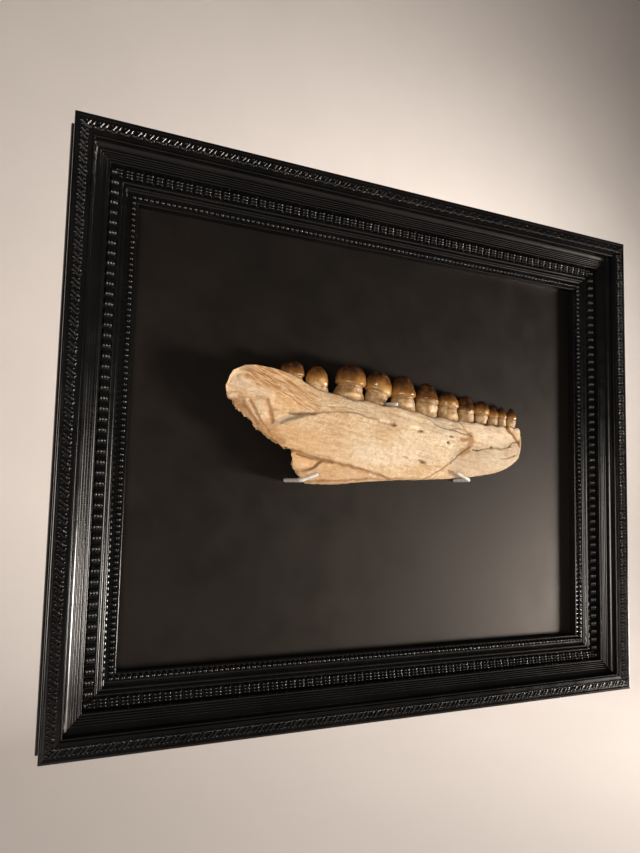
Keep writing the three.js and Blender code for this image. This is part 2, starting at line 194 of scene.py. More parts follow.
# Crown forms, as shares of the half width and of the crown's height from its rim up
CROWNS = {
    "bulb": [(0.94, 0), (1, 0.12), (0.99, 0.34), (0.92, 0.58), (0.74, 0.8), (0.46, 0.95)],
    "cone": [(0.94, 0), (1, 0.09), (0.9, 0.32), (0.76, 0.58), (0.6, 0.8), (0.38, 0.95)],
    "dome": [(0.93, 0), (1, 0.12), (0.96, 0.36), (0.83, 0.62), (0.6, 0.84), (0.34, 0.96)],
    "peg": [(0.94, 0), (1, 0.12), (0.9, 0.36), (0.72, 0.62), (0.48, 0.84), (0.24, 0.97)],
}
# Neck between two shares of the rim's height, and root with its taper and its depths in the bone
NECK_SHARE = 0.8
NECK_END = 0.95
ROOT_TAPER = 0.55
ROOT_DEPTH = 8.0
ROOT_STRAIGHT = 3.0
# Height share where the shift of the foot has died out, and thickness as a share of the width
SHIFT_SHARE = 0.55
CROWN_THICKNESS = 0.92
ROOT_THICKNESS = 0.66
# Collar of the crown and groove below it: height share above the rim, reach, and rise as a share of the width
COLLAR = (0.025, 0.034, 0.015)
GROOVE = (-0.055, 0.032, -0.075)
TOOTH_SIDES = 64
TOOTH_STEPS = 64
TIP_STEPS = 8

# Pins
PANEL_Y = -11.3
PIN_RADIUS = 1.65
PIN_SIDES = 20
PIN_STEPS = 14
# Rounded end of a pin: rings, and length as a share of the radius
PIN_CAP_STEPS = 5
PIN_CAP = 0.8
PINS = {
    "pin_lower_rear": [(-91, PANEL_Y, -31.7), (-91, -36, -31.9), (-89.4, -40.2, -31.5), (-77.2, -41, -26.8)],
    "pin_lower_front": [(80, PANEL_Y, -26.3), (80, -27.5, -26.3), (78.8, -32.6, -25.8), (65.5, -35, -20.7)],
    "pin_upper": [(-1.6, PANEL_Y, 37.6), (-1.6, -25, 36.6), (-1.6, -38, 35.5)],
}

# Backing paper: points along and up it, width of its pressed edge, depth of its sag and layers of unevenness
SHEET_COLUMNS = 92
SHEET_ROWS = 72
SHEET_EDGE = 14.0
SHEET_SAG = 0.45
SHEET_WAVES = [(0.3, 60, 1, 0, 0), (0.16, 17, 1, 0, 4)]

# Stage and lights, in metres and watts
FLOOR_Z = -0.75
FLOOR_FRONT = -4.0
FLOOR_HALF_WIDTH = 5.0
WALL_Y = 2.4
WALL_TOP = 4.0
WALL_BEND = 0.7
BEND_STEPS = 24
SKY_COLOUR = (1.0, 0.95, 0.9, 1.0)
SKY_STRENGTH = 0.06
# Each lamp's place, the place it points at, its size, power and colour
LAMPS = {
    "key": ((2.3, -1.1, -0.52), (0.0, 0.0, 0.0), 0.5, 88, (1.0, 0.91, 0.82)),
    "front_fill": ((-1.05, -1.5, -0.2), (0.0, 0.0, 0.0), 0.7, 22, (1.0, 0.92, 0.84)),
    "backdrop_wash": ((2.2, 0.6, 0.8), (1.3, 2.4, -0.3), 2.0, 46, (1.0, 0.94, 0.87)),
}


# Meshes

def placed(name, data):
    """A new object in the scene."""
    made = bpy.data.objects.new(name, data)
    bpy.context.scene.collection.objects.link(made)
    return made


def new_mesh(name, vertices, faces, nearest, triangles=False):
    """A closed mesh with doubled points merged and its faces turned outwards."""
    mesh = bpy.data.meshes.new(name)
    mesh.from_pydata(np.asarray(vertices).tolist(), [], faces)
    work = bmesh.new()
    work.from_mesh(mesh)
    bmesh.ops.remove_doubles(work, verts=work.verts, dist=nearest)
    if triangles:
        bmesh.ops.triangulate(work, faces=work.faces)
    else:
        bmesh.ops.dissolve_degenerate(work, edges=work.edges, dist=nearest)
    bmesh.ops.recalc_face_normals(work, faces=work.faces)
    if work.calc_volume(signed=True) < 0:
        bmesh.ops.reverse_faces(work, faces=work.faces)
    work.to_mesh(mesh)
    work.free()
    return mesh


def shade(mesh, material, sharp_angle):
    """Gives a mesh one material and smooth shading up to an angle."""
    mesh.materials.clear()
    mesh.materials.append(material)
    mesh.shade_smooth()
    mesh.set_sharp_from_angle(angle=math.radians(sharp_angle))


def add_piece(name, vertices, faces, material, slot, sharp_angle=40):
    """A mesh piece from millimetre points, riding on the one body."""
    mesh = new_mesh(name, np.asarray(vertices) * MM, faces, nearest=1e-6)
    shade(mesh, material, sharp_angle)
    piece = placed(name, mesh)
    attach(piece, "root")
    return piece


def joined(parts):
    """One list of points and faces from several."""
    vertices = []
    faces = []
    for points, polygons in parts:
        offset = sum(len(group) for group in vertices)
        vertices.append(np.asarray(points, dtype=float))
        faces.extend(tuple(index + offset for index in polygon) for polygon in polygons)
    return np.concatenate(vertices), faces


def grid_faces(rows, columns, wrap=False):
    """Quads of a grid of points stored row by row, closed round each row if wrap is set."""
    index = np.arange(rows * columns).reshape(rows, columns)
    if wrap:
        index = np.append(index, index[:, :1], axis=1)
    corners = (index[:-1, :-1], index[:-1, 1:], index[1:, 1:], index[1:, :-1])
    return np.stack(corners, axis=-1).reshape(-1, 4).tolist()


def closed_sheet(top, low):
    """Points and faces of a grid of points with walls to the rim of a second grid and a flat floor."""
    rows, columns, _ = top.shape
    index = np.arange(rows * columns).reshape(rows, columns)
    rim = np.concatenate([index[0], index[1:, -1], index[-1, -2::-1], index[-2:0:-1, 0]])
    below = np.arange(len(rim)) + rows * columns
    walls = np.stack([rim, np.roll(rim, -1), np.roll(below, -1), below], axis=1).tolist()
    faces = grid_faces(rows, columns) + walls + [below.tolist()]
    return np.concatenate([top.reshape(-1, 3), low.reshape(-1, 3)[rim]]), faces


def closed_rings(rings, ends=None):
    """Points and faces of a body of rings, with a given point at each end or the middle of the ring."""
    count, sides, _ = rings.shape
    if ends is None:
        ends = [rings[0].mean(axis=0), rings[-1].mean(axis=0)]
    faces = grid_faces(count, sides, wrap=True)
    head = count * sides
    last = (count - 1) * sides
    for i in range(sides):
        following = (i + 1) % sides
        faces.append((following, i, head))
        faces.append((last + i, last + following, head + 1))
    return np.concatenate([rings.reshape(-1, 3), ends]), faces


def capped_rings(rings):
    """Points and faces of a body of rings, with a flat face at each end."""
    count, sides, _ = rings.shape
    caps = [list(range(first, first + sides)) for first in (0, (count - 1) * sides)]
    return rings.reshape(-1, 3), grid_faces(count, sides, wrap=True) + caps


def smooth_curve(points):
    """A curve through points that never overshoots them, as a function of an array."""
    xs, ys = np.array(points, dtype=float).T
    slopes = np.diff(ys) / np.diff(xs)
    tangents = np.concatenate([slopes[:1], np.zeros(len(xs) - 2), slopes[-1:]])
    for i in range(1, len(xs) - 1):
        if slopes[i - 1] * slopes[i] > 0:
            tangents[i] = 2 * slopes[i - 1] * slopes[i] / (slopes[i - 1] + slopes[i])

    def curve(x):
        x = np.clip(x, xs[0], xs[-1])
        i = np.clip(np.searchsorted(xs, x, side="right") - 1, 0, len(xs) - 2)
        width = xs[i + 1] - xs[i]
        t = (x - xs[i]) / width
        return ((2 * t**3 - 3 * t**2 + 1) * ys[i] + (t**3 - 2 * t**2 + t) * width * tangents[i]
                + (3 * t**2 - 2 * t**3) * ys[i + 1] + (t**3 - t**2) * width * tangents[i + 1])

    return curve


def rough(points, size, stretch=(1, 1, 1), shift=0.0):
    """Smooth random values at points, for lumps of a size in millimetres."""
    places = np.asarray(points) / (size * np.array(stretch)) + shift
    return np.array([noise.noise(place) for place in places.tolist()])


def bell(distance, width):
    """A soft bump that is 1 where there is no distance."""
    return np.exp(-(distance / width)**2)


def smooth_step(low, high, value):
    """A smooth rise from 0 at one value to 1 at the other."""
    t = np.clip((value - low) / (high - low), 0, 1)
    return t * t * (3 - 2 * t)


# Materials

class Finish:
    """A procedural material that is put together call by call. A value is a number, a colour or an output."""

    def __init__(self, name):
        self.material = bpy.data.materials.new(name)
        self.material.use_nodes = True
        self.tree = self.material.node_tree
        self.shader = self.tree.nodes["Principled BSDF"]
        self.place = self.node("ShaderNodeTexCoord", "Object")

    def fill(self, node, inputs):
        """Sets the inputs of a node, or links those that are given an output."""
        for key, value in inputs.items():
            if isinstance(value, bpy.types.NodeSocket):
                self.tree.links.new(value, node.inputs[key])
            else:
                node.inputs[key].default_value = value

    def node(self, kind, output, inputs=(), **settings):
        """One output of a new node."""
        node = self.tree.nodes.new(kind)
        for key, value in settings.items():
            setattr(node, key, value)
        self.fill(node, dict(inputs))
        return node.outputs[output]

    def stretched(self, scale, lean=0.0):
        """Object coordinates turned in the x-z plane and then scaled, for grain along a lean in degrees."""
        turn = (0, -math.radians(lean), 0)
        sizes = [1 / number for number in scale]
        inputs = {"Vector": self.place, "Rotation": turn, "Scale": sizes}
        return self.node("ShaderNodeMapping", "Vector", inputs, vector_type="TEXTURE")

    def noise(self, scale, detail=4.0, roughness=0.55, place=None, distortion=0.0):
        inputs = {"Vector": place or self.place, "Scale": scale, "Detail": detail, "Roughness": roughness,
                  "Distortion": distortion}
        return self.node("ShaderNodeTexNoise", "Fac", inputs)

    def cells(self, scale):
        return self.node("ShaderNodeTexVoronoi", "Distance", {"Vector": self.place, "Scale": scale})

    def value(self, name):
        """A value that the mesh carries at each point."""
        return self.node("ShaderNodeAttribute", "Fac", attribute_name=name)

    def ramp(self, factor, stops):
        """Colours at places from 0 to 1."""
        output = self.node("ShaderNodeValToRGB", "Color", {"Fac": factor})
        elements = output.node.color_ramp.elements
        while len(elements) < len(stops):
            elements.new(0.5)
        for element, (position, colour) in zip(elements, stops):
            element.position = position
            element.color = (*colour, 1.0)
        return output

    def span(self, factor, low, high, to_low=0.0, to_high=1.0):
        """A value moved from one range to another, held at its ends."""
        inputs = {"Value": factor, "From Min": low, "From Max": high, "To Min": to_low, "To Max": to_high}
        return self.node("ShaderNodeMapRange", "Result", inputs)

    def math(self, operation, first, second):
        return self.node("ShaderNodeMath", "Value", {0: first, 1: second}, operation=operation)

    def layered(self, colour, layers):
        """A colour under layers, each a share and the colour that it moves towards, by number or output."""
        for share, paint in layers:
            if isinstance(paint, tuple):
                paint = (*paint, 1.0)
            inputs = {"Factor": share, 6: colour, 7: paint}
            colour = self.node("ShaderNodeMix", 2, inputs, data_type="RGBA")
        return colour

    def bump(self, height, distance, strength=1.0, under=None):
        """A bumped normal, over an earlier one if given. The distance is in metres."""
        inputs = {"Strength": strength, "Distance": distance, "Height": height}
        if under:
            inputs["Normal"] = under
        return self.node("ShaderNodeBump", "Normal", inputs)

    def done(self, colour, roughness, normal, **constants):
        """The finished material, with constants set on the shader's own sockets."""
        self.fill(self.shader, {"Base Color": colour, "Roughness": roughness, "Normal": normal})
        self.fill(self.shader, {name.replace("_", " "): value for name, value in constants.items()})
        return self.material


def frame_lacquer():
    """Satin black lacquer, a little cloudy, with a fine grain."""
    finish = Finish("frame_lacquer")
    cloud = finish.noise(24)
    colour = finish.ramp(cloud, [(0.35, (0.0024, 0.0023, 0.0025)), (0.7, (0.0052, 0.0048, 0.0047))])
    roughness = finish.span(finish.noise(90, detail=6), 0.3, 0.7, 0.13, 0.22)
    normal = finish.bump(finish.noise(800, detail=3), 0.00005, 0.35)
    return finish.done(colour, roughness, normal, Specular_IOR_Level=0.36)


def panel_paint():
    """Matt black paint on board, with a broad sheen and a fine tooth."""
    finish = Finish("panel_paint")
    cloud = finish.noise(9, detail=6)
    colour = finish.ramp(cloud, [(0.3, (0.0022, 0.002, 0.0018)), (0.7, (0.004, 0.0035, 0.0031))])
    roughness = finish.span(finish.noise(40, detail=8), 0.3, 0.7, 0.41, 0.5)
    normal = finish.bump(finish.noise(1500, detail=4, roughness=0.7), 0.00012, 0.5)
    warm = (1.0, 0.84, 0.74, 1.0)
    return finish.done(colour, roughness, normal, Specular_IOR_Level=0.3, Specular_Tint=warm)


def backing_paper():
    """Brown backing paper with fibres and faint waves."""
    finish = Finish("backing_paper")
    fibres = finish.noise(1.0, detail=8, roughness=0.7, place=finish.stretched((160, 160, 900)))
    cloud = finish.noise(14)
    tone = finish.ramp(cloud, [(0.3, (0.2, 0.13, 0.07)), (0.7, (0.31, 0.205, 0.115))])
    colour = finish.layered(tone, [(finish.span(fibres, 0.45, 0.75), (0.36, 0.25, 0.15))])
    roughness = finish.span(fibres, 0.3, 0.7, 0.78, 0.9)
    normal = finish.bump(fibres, 0.00015, 0.6, under=finish.bump(cloud, 0.0012, 0.4))
    return finish.done(colour, roughness, normal)


def fossil_bone():
    """Cream to tan bone with a fine mottle, rusty streaks, stained cracks and filler, with painted shade in
    places and painted highlights by the nerve openings.
    """
    finish = Finish("fossil_bone")
    cloud = finish.noise(24, detail=5)
    mottle = finish.noise(240, detail=5, roughness=0.62)
    flecks = finish.noise(820, detail=3, roughness=0.6)
    along = finish.stretched((60, 160, 380), GRAIN_LEAN)
    grain = finish.noise(1.0, detail=6, roughness=0.65, place=along)
    steep = finish.stretched((80, 160, 860), STREAK_LEAN)
    streaks = finish.span(finish.noise(1.0, detail=6, place=steep, distortion=0.5), 0.46, 0.6)
    cloudy = finish.span(cloud, 0.3, 0.7, 0.55, 1.0)
    worn = finish.span(mottle, 0.35, 0.6, 1.0, 0.5)
    tone = finish.ramp(cloud, [(0.32, (0.56, 0.37, 0.19)), (0.5, (0.66, 0.49, 0.3)),
                               (0.66, (0.76, 0.62, 0.43))])
    colour = finish.layered(tone, [
        (finish.span(mottle, 0.45, 0.68, 0.0, 0.6), (0.4, 0.235, 0.1)),
        (finish.span(flecks, 0.48, 0.68, 0.0, 0.55), (0.84, 0.73, 0.56)),
        (finish.math("MULTIPLY", finish.value("rust"), cloudy), (0.55, 0.28, 0.09)),
        (finish.span(grain, 0.5, 0.7, 0.0, 0.7), (0.4, 0.225, 0.09)),
        (finish.span(grain, 0.46, 0.3, 0.0, 0.5), (0.82, 0.7, 0.52)),
        (finish.math("MULTIPLY", finish.value("streaked"), streaks), (0.3, 0.13, 0.035)),
        # Pale, with painted highlights in the small hollows by the nerve openings
        (finish.math("MULTIPLY", finish.value("pale"), worn), (0.8, 0.69, 0.54)),
        # Grey, with a painted shadow band along the scarp below the blade's hollow
        (finish.value("grey"), (0.33, 0.265, 0.2)),
        (finish.value("brown"), (0.33, 0.155, 0.05)),
        (finish.value("putty"), (0.36, 0.205, 0.09)),
        (finish.span(finish.cells(520), 0.0, 0.25, 0.35, 0.0), (0.25, 0.14, 0.06)),
        # Stains of cracks and pits, with painted shade next to the teeth and in the groove below the blade's
        # hollow
        (finish.value("stain_and_shade"), (0.11, 0.055, 0.022)),
    ])
    roughness = finish.span(mottle, 0.3, 0.7, 0.58, 0.78)
    fine = finish.bump(flecks, 0.0006, 0.8)
    grained = finish.bump(grain, 0.0006, 0.6, under=fine)
    normal = finish.bump(mottle, 0.0009, 0.6, under=grained)
    return finish.done(colour, roughness, normal, Specular_IOR_Level=0.3)


def tooth_enamel():
    """Glossy brown enamel over a dry tan root, with painted shade towards the crown's top, under its rim and
    where it meets the bone.
    """
    finish = Finish("tooth_enamel")
    enamel = finish.value("enamel")
    mottle = finish.noise(250, detail=6, roughness=0.65)
    cloud = finish.noise(120)
    # The tone holds the enamel's own darkness and painted shade towards the crown's top
    shade = finish.math("ADD", finish.value("tone"), finish.span(cloud, 0.3, 0.7, -0.16, 0.16))
    browns = finish.ramp(shade, [(0.0, (0.5, 0.31, 0.12)), (0.3, (0.34, 0.165, 0.046)),
                                 (0.6, (0.14, 0.056, 0.014)), (1.0, (0.035, 0.013, 0.005))])
    crown = finish.layered(browns, [(finish.span(mottle, 0.52, 0.75, 0.0, 0.35), (0.36, 0.19, 0.07))])
    tans = finish.ramp(cloud, [(0.3, (0.24, 0.12, 0.036)), (0.5, (0.37, 0.21, 0.075)),
                               (0.68, (0.57, 0.395, 0.19))])
    colour = finish.layered(tans, [
        (finish.span(mottle, 0.45, 0.6, 0.0, 0.8), (0.2, 0.095, 0.034)),
        (enamel, crown),
        (finish.value("cream"), (0.68, 0.49, 0.26)),
        # Painted shade under the crown's rim and where the tooth meets the bone
        (finish.value("stain_and_shade"), (0.07, 0.032, 0.013)),
    ])
    roughness = finish.span(enamel, 0.0, 1.0, 0.5, 0.15)
    ridges = finish.noise(1.0, place=finish.stretched((520, 520, 80)))
    normal = finish.bump(mottle, 0.0005, 0.35, under=finish.bump(ridges, 0.0003, 0.4))
    return finish.done(colour, roughness, normal, Specular_IOR_Level=0.5)


def pin_sleeve():
    """Pale grey sleeve of the pins, a little scuffed."""
    finish = Finish("pin_sleeve")
    cloud = finish.noise(300, detail=5)
    colour = finish.ramp(cloud, [(0.3, (0.5, 0.48, 0.45)), (0.7, (0.72, 0.7, 0.67))])
    roughness = finish.span(cloud, 0.3, 0.7, 0.25, 0.42)
    return finish.done(colour, roughness, finish.bump(finish.noise(1200), 0.00005, 0.5))


def studio_paper():
    """Pale paper of the floor and the backdrop."""
    finish = Finish("studio_paper")
    cloud = finish.noise(3)
    colour = finish.ramp(cloud, [(0.3, (0.74, 0.69, 0.66)), (0.7, (0.77, 0.715, 0.685))])
    roughness = finish.span(cloud, 0.3, 0.7, 0.8, 0.9)
    return finish.done(colour, roughness, finish.bump(finish.noise(300), 0.0002, 0.3))


# Picture frame

# Outward direction of each rail in x and z, its length, and the distance of its outer edge from the middle
SIDES = {
    "top": (0, 1, FRAME_W, FRAME_H / 2),
    "bottom": (0, -1, FRAME_W, FRAME_H / 2),
    "left": (-1, 0, FRAME_H, FRAME_W / 2),
    "right": (1, 0, FRAME_H, FRAME_W / 2),
}


def on_rail(side, along, inset, height):
    """Part coordinates of a place along a rail."""
    out_x, out_z, _, edge = SIDES[side]
    along, inset, height = np.broadcast_arrays(along, inset, height)
    across = edge - inset
    return np.stack([out_x * across + out_z * along, -height, out_z * across - out_x * along], axis=-1)


def half_length(side, inset, gap=MITRE_GAP):
    """Distance from a rail's middle to its mitre at an inset."""
    return SIDES[side][2] / 2 - inset - gap


def run_ends(name):
    """The two (inset, height) ends of a moulding run."""
    names = list(MOULDING_RUNS)
    index = names.index(name)
    start = MOULDING_RUNS[names[index - 1]][:2] if index else (0.0, LIP_HEIGHT)
    return np.array(start), np.array(MOULDING_RUNS[name][:2])


def outward_normal(start, end):
    """Direction away from the wall, square to a run."""
    direction = (end - start) / np.linalg.norm(end - start)
    return np.array([-direction[1], direction[0]])


def bowed(start, control, end, steps):
    """Points of a quadratic curve after its start."""
    t = np.linspace(0, 1, steps + 1)[1:, None]
    return (1 - t)**2 * start + 2 * t * (1 - t) * control + t**2 * end


def moulding_profile():
    """The closed section of a rail as (inset, height) points."""
    flange_top = FLANGE_HEIGHT + FLANGE_THICK
    back = [(FOOT_INSET, 0), (FOOT_INSET, FLANGE_HEIGHT), (FLANGE_INSET + FLANGE_EASE, FLANGE_HEIGHT),
            (FLANGE_INSET, FLANGE_HEIGHT + FLANGE_EASE), (FLANGE_INSET, flange_top - FLANGE_EASE),
            (FLANGE_INSET, flange_top)]
    points = [back, bowed(back[-1], SIDE_BEND, SIDE_END, SIDE_STEPS), LIP_START]
    for name, (_, _, swell) in MOULDING_RUNS.items():
        start, end = run_ends(name)
        control = (start + end) / 2 + 2 * swell * outward_normal(start, end)
        points.append(bowed(start, control, end, RUN_STEPS if swell else 1))
    points.append([(SIGHT_INSET, SIGHT_BACK_HEIGHT), (REBATE_INSET, SIGHT_BACK_HEIGHT), (REBATE_INSET, 0)])
    return np.concatenate(points)


def moulding(side):
    """The plain body of a rail, mitred at both ends."""
    insets, heights = moulding_profile().T
    reach = half_length(side, insets)
    return capped_rings(np.stack([on_rail(side, end * reach, insets, heights) for end in (-1, 1)]))


def carved_strip(side, run, shares, pitch, offsets, rows, relief):
    """A closed strip on part of a run, whose relief repeats along the rail and is cut by the mitres."""
    start, end = run_ends(run)
    normal = outward_normal(start, end)
    across = np.linspace(0, 1, rows)
    covered = shares[0] + across * (shares[1] - shares[0])
    base = start + covered[:, None] * (end - start)
    limits = half_length(side, base[:, 0])
    units = np.arange(-math.ceil(limits[0] / pitch), math.ceil(limits[0] / pitch) + 1)
    along = (units[:, None] + np.array(offsets)).ravel() * pitch
    along = np.concatenate([[-limits[0]], along[np.abs(along) < limits[0]], [limits[0]]])
    place = np.clip(along[:, None], -limits, limits)
    share = place / pitch - np.round(place / pitch)
    raised = relief(share, np.broadcast_to(across, share.shape))
    top = on_rail(side, place, base[:, 0] + raised * normal[0], base[:, 1] + raised * normal[1])
    sunk = base - STRIP_DEPTH * normal
    low = on_rail(side, place, sunk[:, 0], sunk[:, 1])
    return closed_sheet(top, low)


# Strokes of one hooked leaf: both ends and half width, in shares of its pitch, on a band of that breadth
LEAF_BAND = 0.78
LEAF_STROKES = [
    ((-0.34, 0.6), (0.02, 0.16), 0.1),
    ((-0.34, 0.6), (-0.2, 0.67), 0.08),
    ((0.15, 0.46), (0.38, 0.2), 0.08),
    ((0.04, 0.6), (0.05, 0.61), 0.11),
    ((0.36, 0.6), (0.37, 0.6), 0.1),
    ((-0.28, 0.2), (-0.27, 0.19), 0.09),
]


def leaf_relief(share, across):
    """Hooked leaves that lean along the rail, with beads between them."""
    places = np.stack([share, np.zeros_like(share), LEAF_BAND * across], axis=-1).reshape(-1, 3)
    height = np.zeros(len(places))
    for start, end, width in LEAF_STROKES:
        distance, _, _ = line_distance(places, [start, end])
        height = np.maximum(height, np.sqrt(np.clip(1 - (distance / width)**2, 0, 1)))
    ends = np.clip(np.minimum(across, 1 - across) / LEAF_FADE, 0, 1)
    return LEAF_RELIEF * ends * height.reshape(share.shape)


def gadroon_relief(share, across):
    """Rounded bars across the row, each swelling into three beads."""
    ends = np.sqrt(np.clip(1 - np.abs(2 * across - 1)**4, 0, 1))
    bar = np.sqrt(np.clip(1 - (share / GADROON_HALF)**2, 0, 1))
    beads = GADROON_WAIST + (1 - GADROON_WAIST) * np.abs(np.cos(3 * math.pi * (across - 0.5)))
    return GADROON_RELIEF * ends * bar * beads


def ball(radius):
    """Points and faces of a round bead about the origin."""
    polar = np.linspace(0, math.pi, PEARL_STEPS + 1)[1:-1, None]
    turn = np.linspace(0, 2 * math.pi, PEARL_SIDES, endpoint=False)
    axes = (np.sin(polar) * np.cos(turn), np.sin(polar) * np.sin(turn), np.cos(polar))
    rings = radius * np.stack(np.broadcast_arrays(*axes), axis=-1)
    return closed_rings(rings, ends=[(0, 0, radius), (0, 0, -radius)])


def pearls(side):
    """The row of pearls next to the sight edge. The long rails carry those on the corners."""
    start, end = run_ends("pearl row")
    inset, height = (start + end) / 2
    corner = half_length(side, inset, gap=0)
    count = round(corner / PEARL_PITCH)
    last = count if side in ("top", "bottom") else count - 1
    points, faces = ball(PEARL_RADIUS)
    parts = []
    for number in range(-last, last + 1):
        centre = on_rail(side, number * corner / count, inset, height + PEARL_SINK)
        parts.append((points + centre, faces))
    return joined(parts)


def build_frame(lacquer):
    leaves = np.linspace(-0.5, 0.5, LEAF_COLUMNS, endpoint=False)
    turns = np.linspace(-math.pi / 2, math.pi / 2, GADROON_COLUMNS)
    bars = np.append(-0.5, GADROON_HALF * np.sin(turns))
    for side in SIDES:
        parts = [
            moulding(side),
            carved_strip(side, "leaf band", LEAF_SHARES, LEAF_PITCH, leaves, LEAF_ROWS, leaf_relief),
            carved_strip(side, "gadroon row", (0, 1), GADROON_PITCH, bars, GADROON_ROWS, gadroon_relief),
            pearls(side),
        ]
        rail = add_piece(f"rail_{side}", *joined(parts), lacquer, "frame_black", sharp_angle=38)
        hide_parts(f"frame_rail_{side}")


# Jaw bone

def bone_rings():
    """Rings of points round the bone, evenly spaced and closer on the outer side."""
    stations = np.arange(TOP_EDGE[0][0], TOP_EDGE[-1][0], STATION_STEP)
    stations = np.append(stations, TOP_EDGE[-1][0])[:, None]
    share = (1 - np.cos(np.linspace(0, math.pi, SIDE_POINTS))) / 2
    level = 2 * share - 1
    places = stations * [1, 0, 0]
    low = smooth_curve(BOTTOM_EDGE)(stations) + EDGE_WAVE * rough(places, EDGE_LUMPS, shift=3.1)[:, None]
    top = smooth_curve(TOP_EDGE)(stations) + EDGE_WAVE * rough(places, EDGE_LUMPS, shift=14.3)[:, None]
    for x, _, width, *_ in TEETH[CREST_TEETH:]:
        top -= SOCKET_DIP * bell(stations - x, SOCKET_SHARE * width)
    z = low + (top - low) * share
    half = smooth_curve(THICKNESS)(stations) / 2
    outer = smooth_curve(OUTER_SIDE)(stations)
    upward = np.maximum(level, 0)**(ROUND_POWER / 2)
    flat = np.maximum(1 - np.abs(level)**ROUND_POWER, 0)
    blade = np.clip((BODY_X - stations) / (BODY_X - BLADE_X), 0, 1)
    crest = blade * CREST_SHIFT * upward**2
    outer_power = np.where(level > 0, RIM_POWER + (OUTER_POWER - RIM_POWER) * blade, OUTER_POWER)
    y_outer = outer + half * (1 - flat**outer_power) - crest * (1 - np.sqrt(1 - upward**2))
    y_inner = outer + half * (1 + flat**INNER_POWER) - crest
    rings = []
    for i in range(len(stations)):
        y = np.concatenate([y_outer[i], y_inner[i, -2:0:-1]])
        height = np.concatenate([z[i], z[i, -2:0:-1]])
        x = stations[i] + blade[i] * END_SLANT * (y - outer[i])
        ring = np.stack([x, y, height], axis=1)
        closed = np.concatenate([ring, ring[:1]])
        steps = np.linalg.norm(np.diff(closed, axis=0), axis=1)
        steps[len(share):] *= INNER_SHARE
        reach = np.concatenate([[0], np.cumsum(steps)])
        even = np.linspace(0, reach[-1], RING_POINTS, endpoint=False)
        rings.append(np.stack([np.interp(even, reach, closed[:, axis]) for axis in range(3)], axis=1))
    return np.array(rings)


def ring_normals(rings):
    """Outward directions at the points of the rings."""
    around = np.roll(rings, -1, axis=1) - np.roll(rings, 1, axis=1)
    normals = np.cross(around, np.gradient(rings, axis=0))
    lengths = np.linalg.norm(normals, axis=2, keepdims=True)
    normals = normals / np.maximum(lengths, 1e-9)
    middle = rings.mean(axis=1, keepdims=True)
    outwards = np.sum(normals * (rings - middle), axis=(1, 2), keepdims=True)
    return normals * np.sign(outwards)


def line_distance(points, line):
    """Distance of points from a line of (x, z) places, the share along it, and the side.

    The side is 1 to the left of the way the line runs, and -1 to its right.
    """
    line = np.array(line, dtype=float)
    lengths = np.linalg.norm(np.diff(line, axis=0), axis=1)
    directions = np.diff(line, axis=0) / lengths[:, None]
    away = points[:, None, [0, 2]] - line[:-1]
    along = np.clip(np.sum(away * directions, axis=2), 0, lengths)
    distances = np.linalg.norm(away - along[..., None] * directions, axis=2)
    passed = np.cumsum(lengths) - lengths
    turned = directions[:, 0] * away[..., 1] - directions[:, 1] * away[..., 0]
    nearest = np.arange(len(points)), distances.argmin(axis=1)
    return distances[nearest], (passed + along)[nearest] / lengths.sum(), np.sign(turned[nearest])


# Lines on the outer side that carry more than one of a crack, a step and a colour, as (x, z)
FLAKE_LINE = [(34.8, 26.4), (39.7, 22.8), (47.2, 19.5), (55.6, 17.8), (66.7, 16.9), (79, 14.7)]
FRONT_CRACK = [(85.1, 1.1), (90.6, 1.4), (106.9, 4.3), (121, 4.1), (130.3, 6.1), (136.6, 10.6), (142, 12.4)]
TIP_CRACK = [(130.3, 23.4), (136.6, 19), (142, 14.5), (146.2, 9.1)]
SPLENIAL_SPLIT = [(-86.9, -24.4), (-77.5, -21.5), (-71.4, -16.2)]
RIDGE_CRACK = [(-77.6, 22), (-63.7, 24.5), (-43.9, 25.9), (-32.9, 23.2), (-18.4, 20.7)]
REAR_SCAR = [(-139.3, 27), (-135.2, 19.9), (-128, 11)]
MIDDLE_SCAR = [(-134, 28.4), (-130.9, 24.2), (-126, 14.8), (-118, 6)]
FRONT_SCAR = [(-120.1, 30.3), (-116.6, 23.5), (-115.4, 13.4)]

# Cracks as (x, z) lines with half width, depth and strength of the stain. The last one's stain also paints
# the shadow in its groove.
CRACKS = [
    (BREAK_LINE[2:5], 0.65, 0.6, 0.6),
    (BREAK_LINE[5:], 0.65, 0.6, 0.65),
    (SPLENIAL_BORDER[:3], 0.75, 0.9, 0.5),
    (SPLENIAL_BORDER[2:], 0.75, 0.8, 0.5),
    ([(-93.3, -11.5), (-81.9, -13.2), (-71.4, -15.1), (-61.3, -17)], 0.75, 0.9, 0.6),
    (SPLENIAL_SPLIT, 0.9, 0.9, 0.6),
    ([(-84.4, -32.4), (-53.3, -31.2), (-27.1, -28.9)], 0.7, 0.6, 0.5),
    (FLAKE_LINE, 0.65, 0.5, 0.6),
    ([(60.5, 18.2), (69.2, 20), (73.5, 18.7)], 0.65, 0.5, 0.6),
    (FRONT_CRACK, 0.7, 0.8, 0.8),
    (TIP_CRACK, 1.6, 1.1, 0.5),
    ([(119, -4.8), (129.3, -4.3), (139.9, -1)], 0.65, 0.5, 0.45),
    (RIDGE_CRACK, 0.65, 0.4, 0.4),
    ([(-66, 28.4), (-52, 29.6), (-38, 27.6), (-22, 24.6)], 0.65, 0.3, 0.3),
    (REAR_SCAR, 1.2, 0.55, 0.25),
    (MIDDLE_SCAR, 1.0, 0.65, 0.35),
    (FRONT_SCAR, 1.5, 0.8, 0.25),
    # Painted shadow: the stain of this groove below the blade's hollow darkens it as its shadow
    ([(-99.5, 21.6), (-91.7, 21.2), (-84.7, 21.6), (-77.6, 22.2)], 0.9, 1.2, 0.7),
]
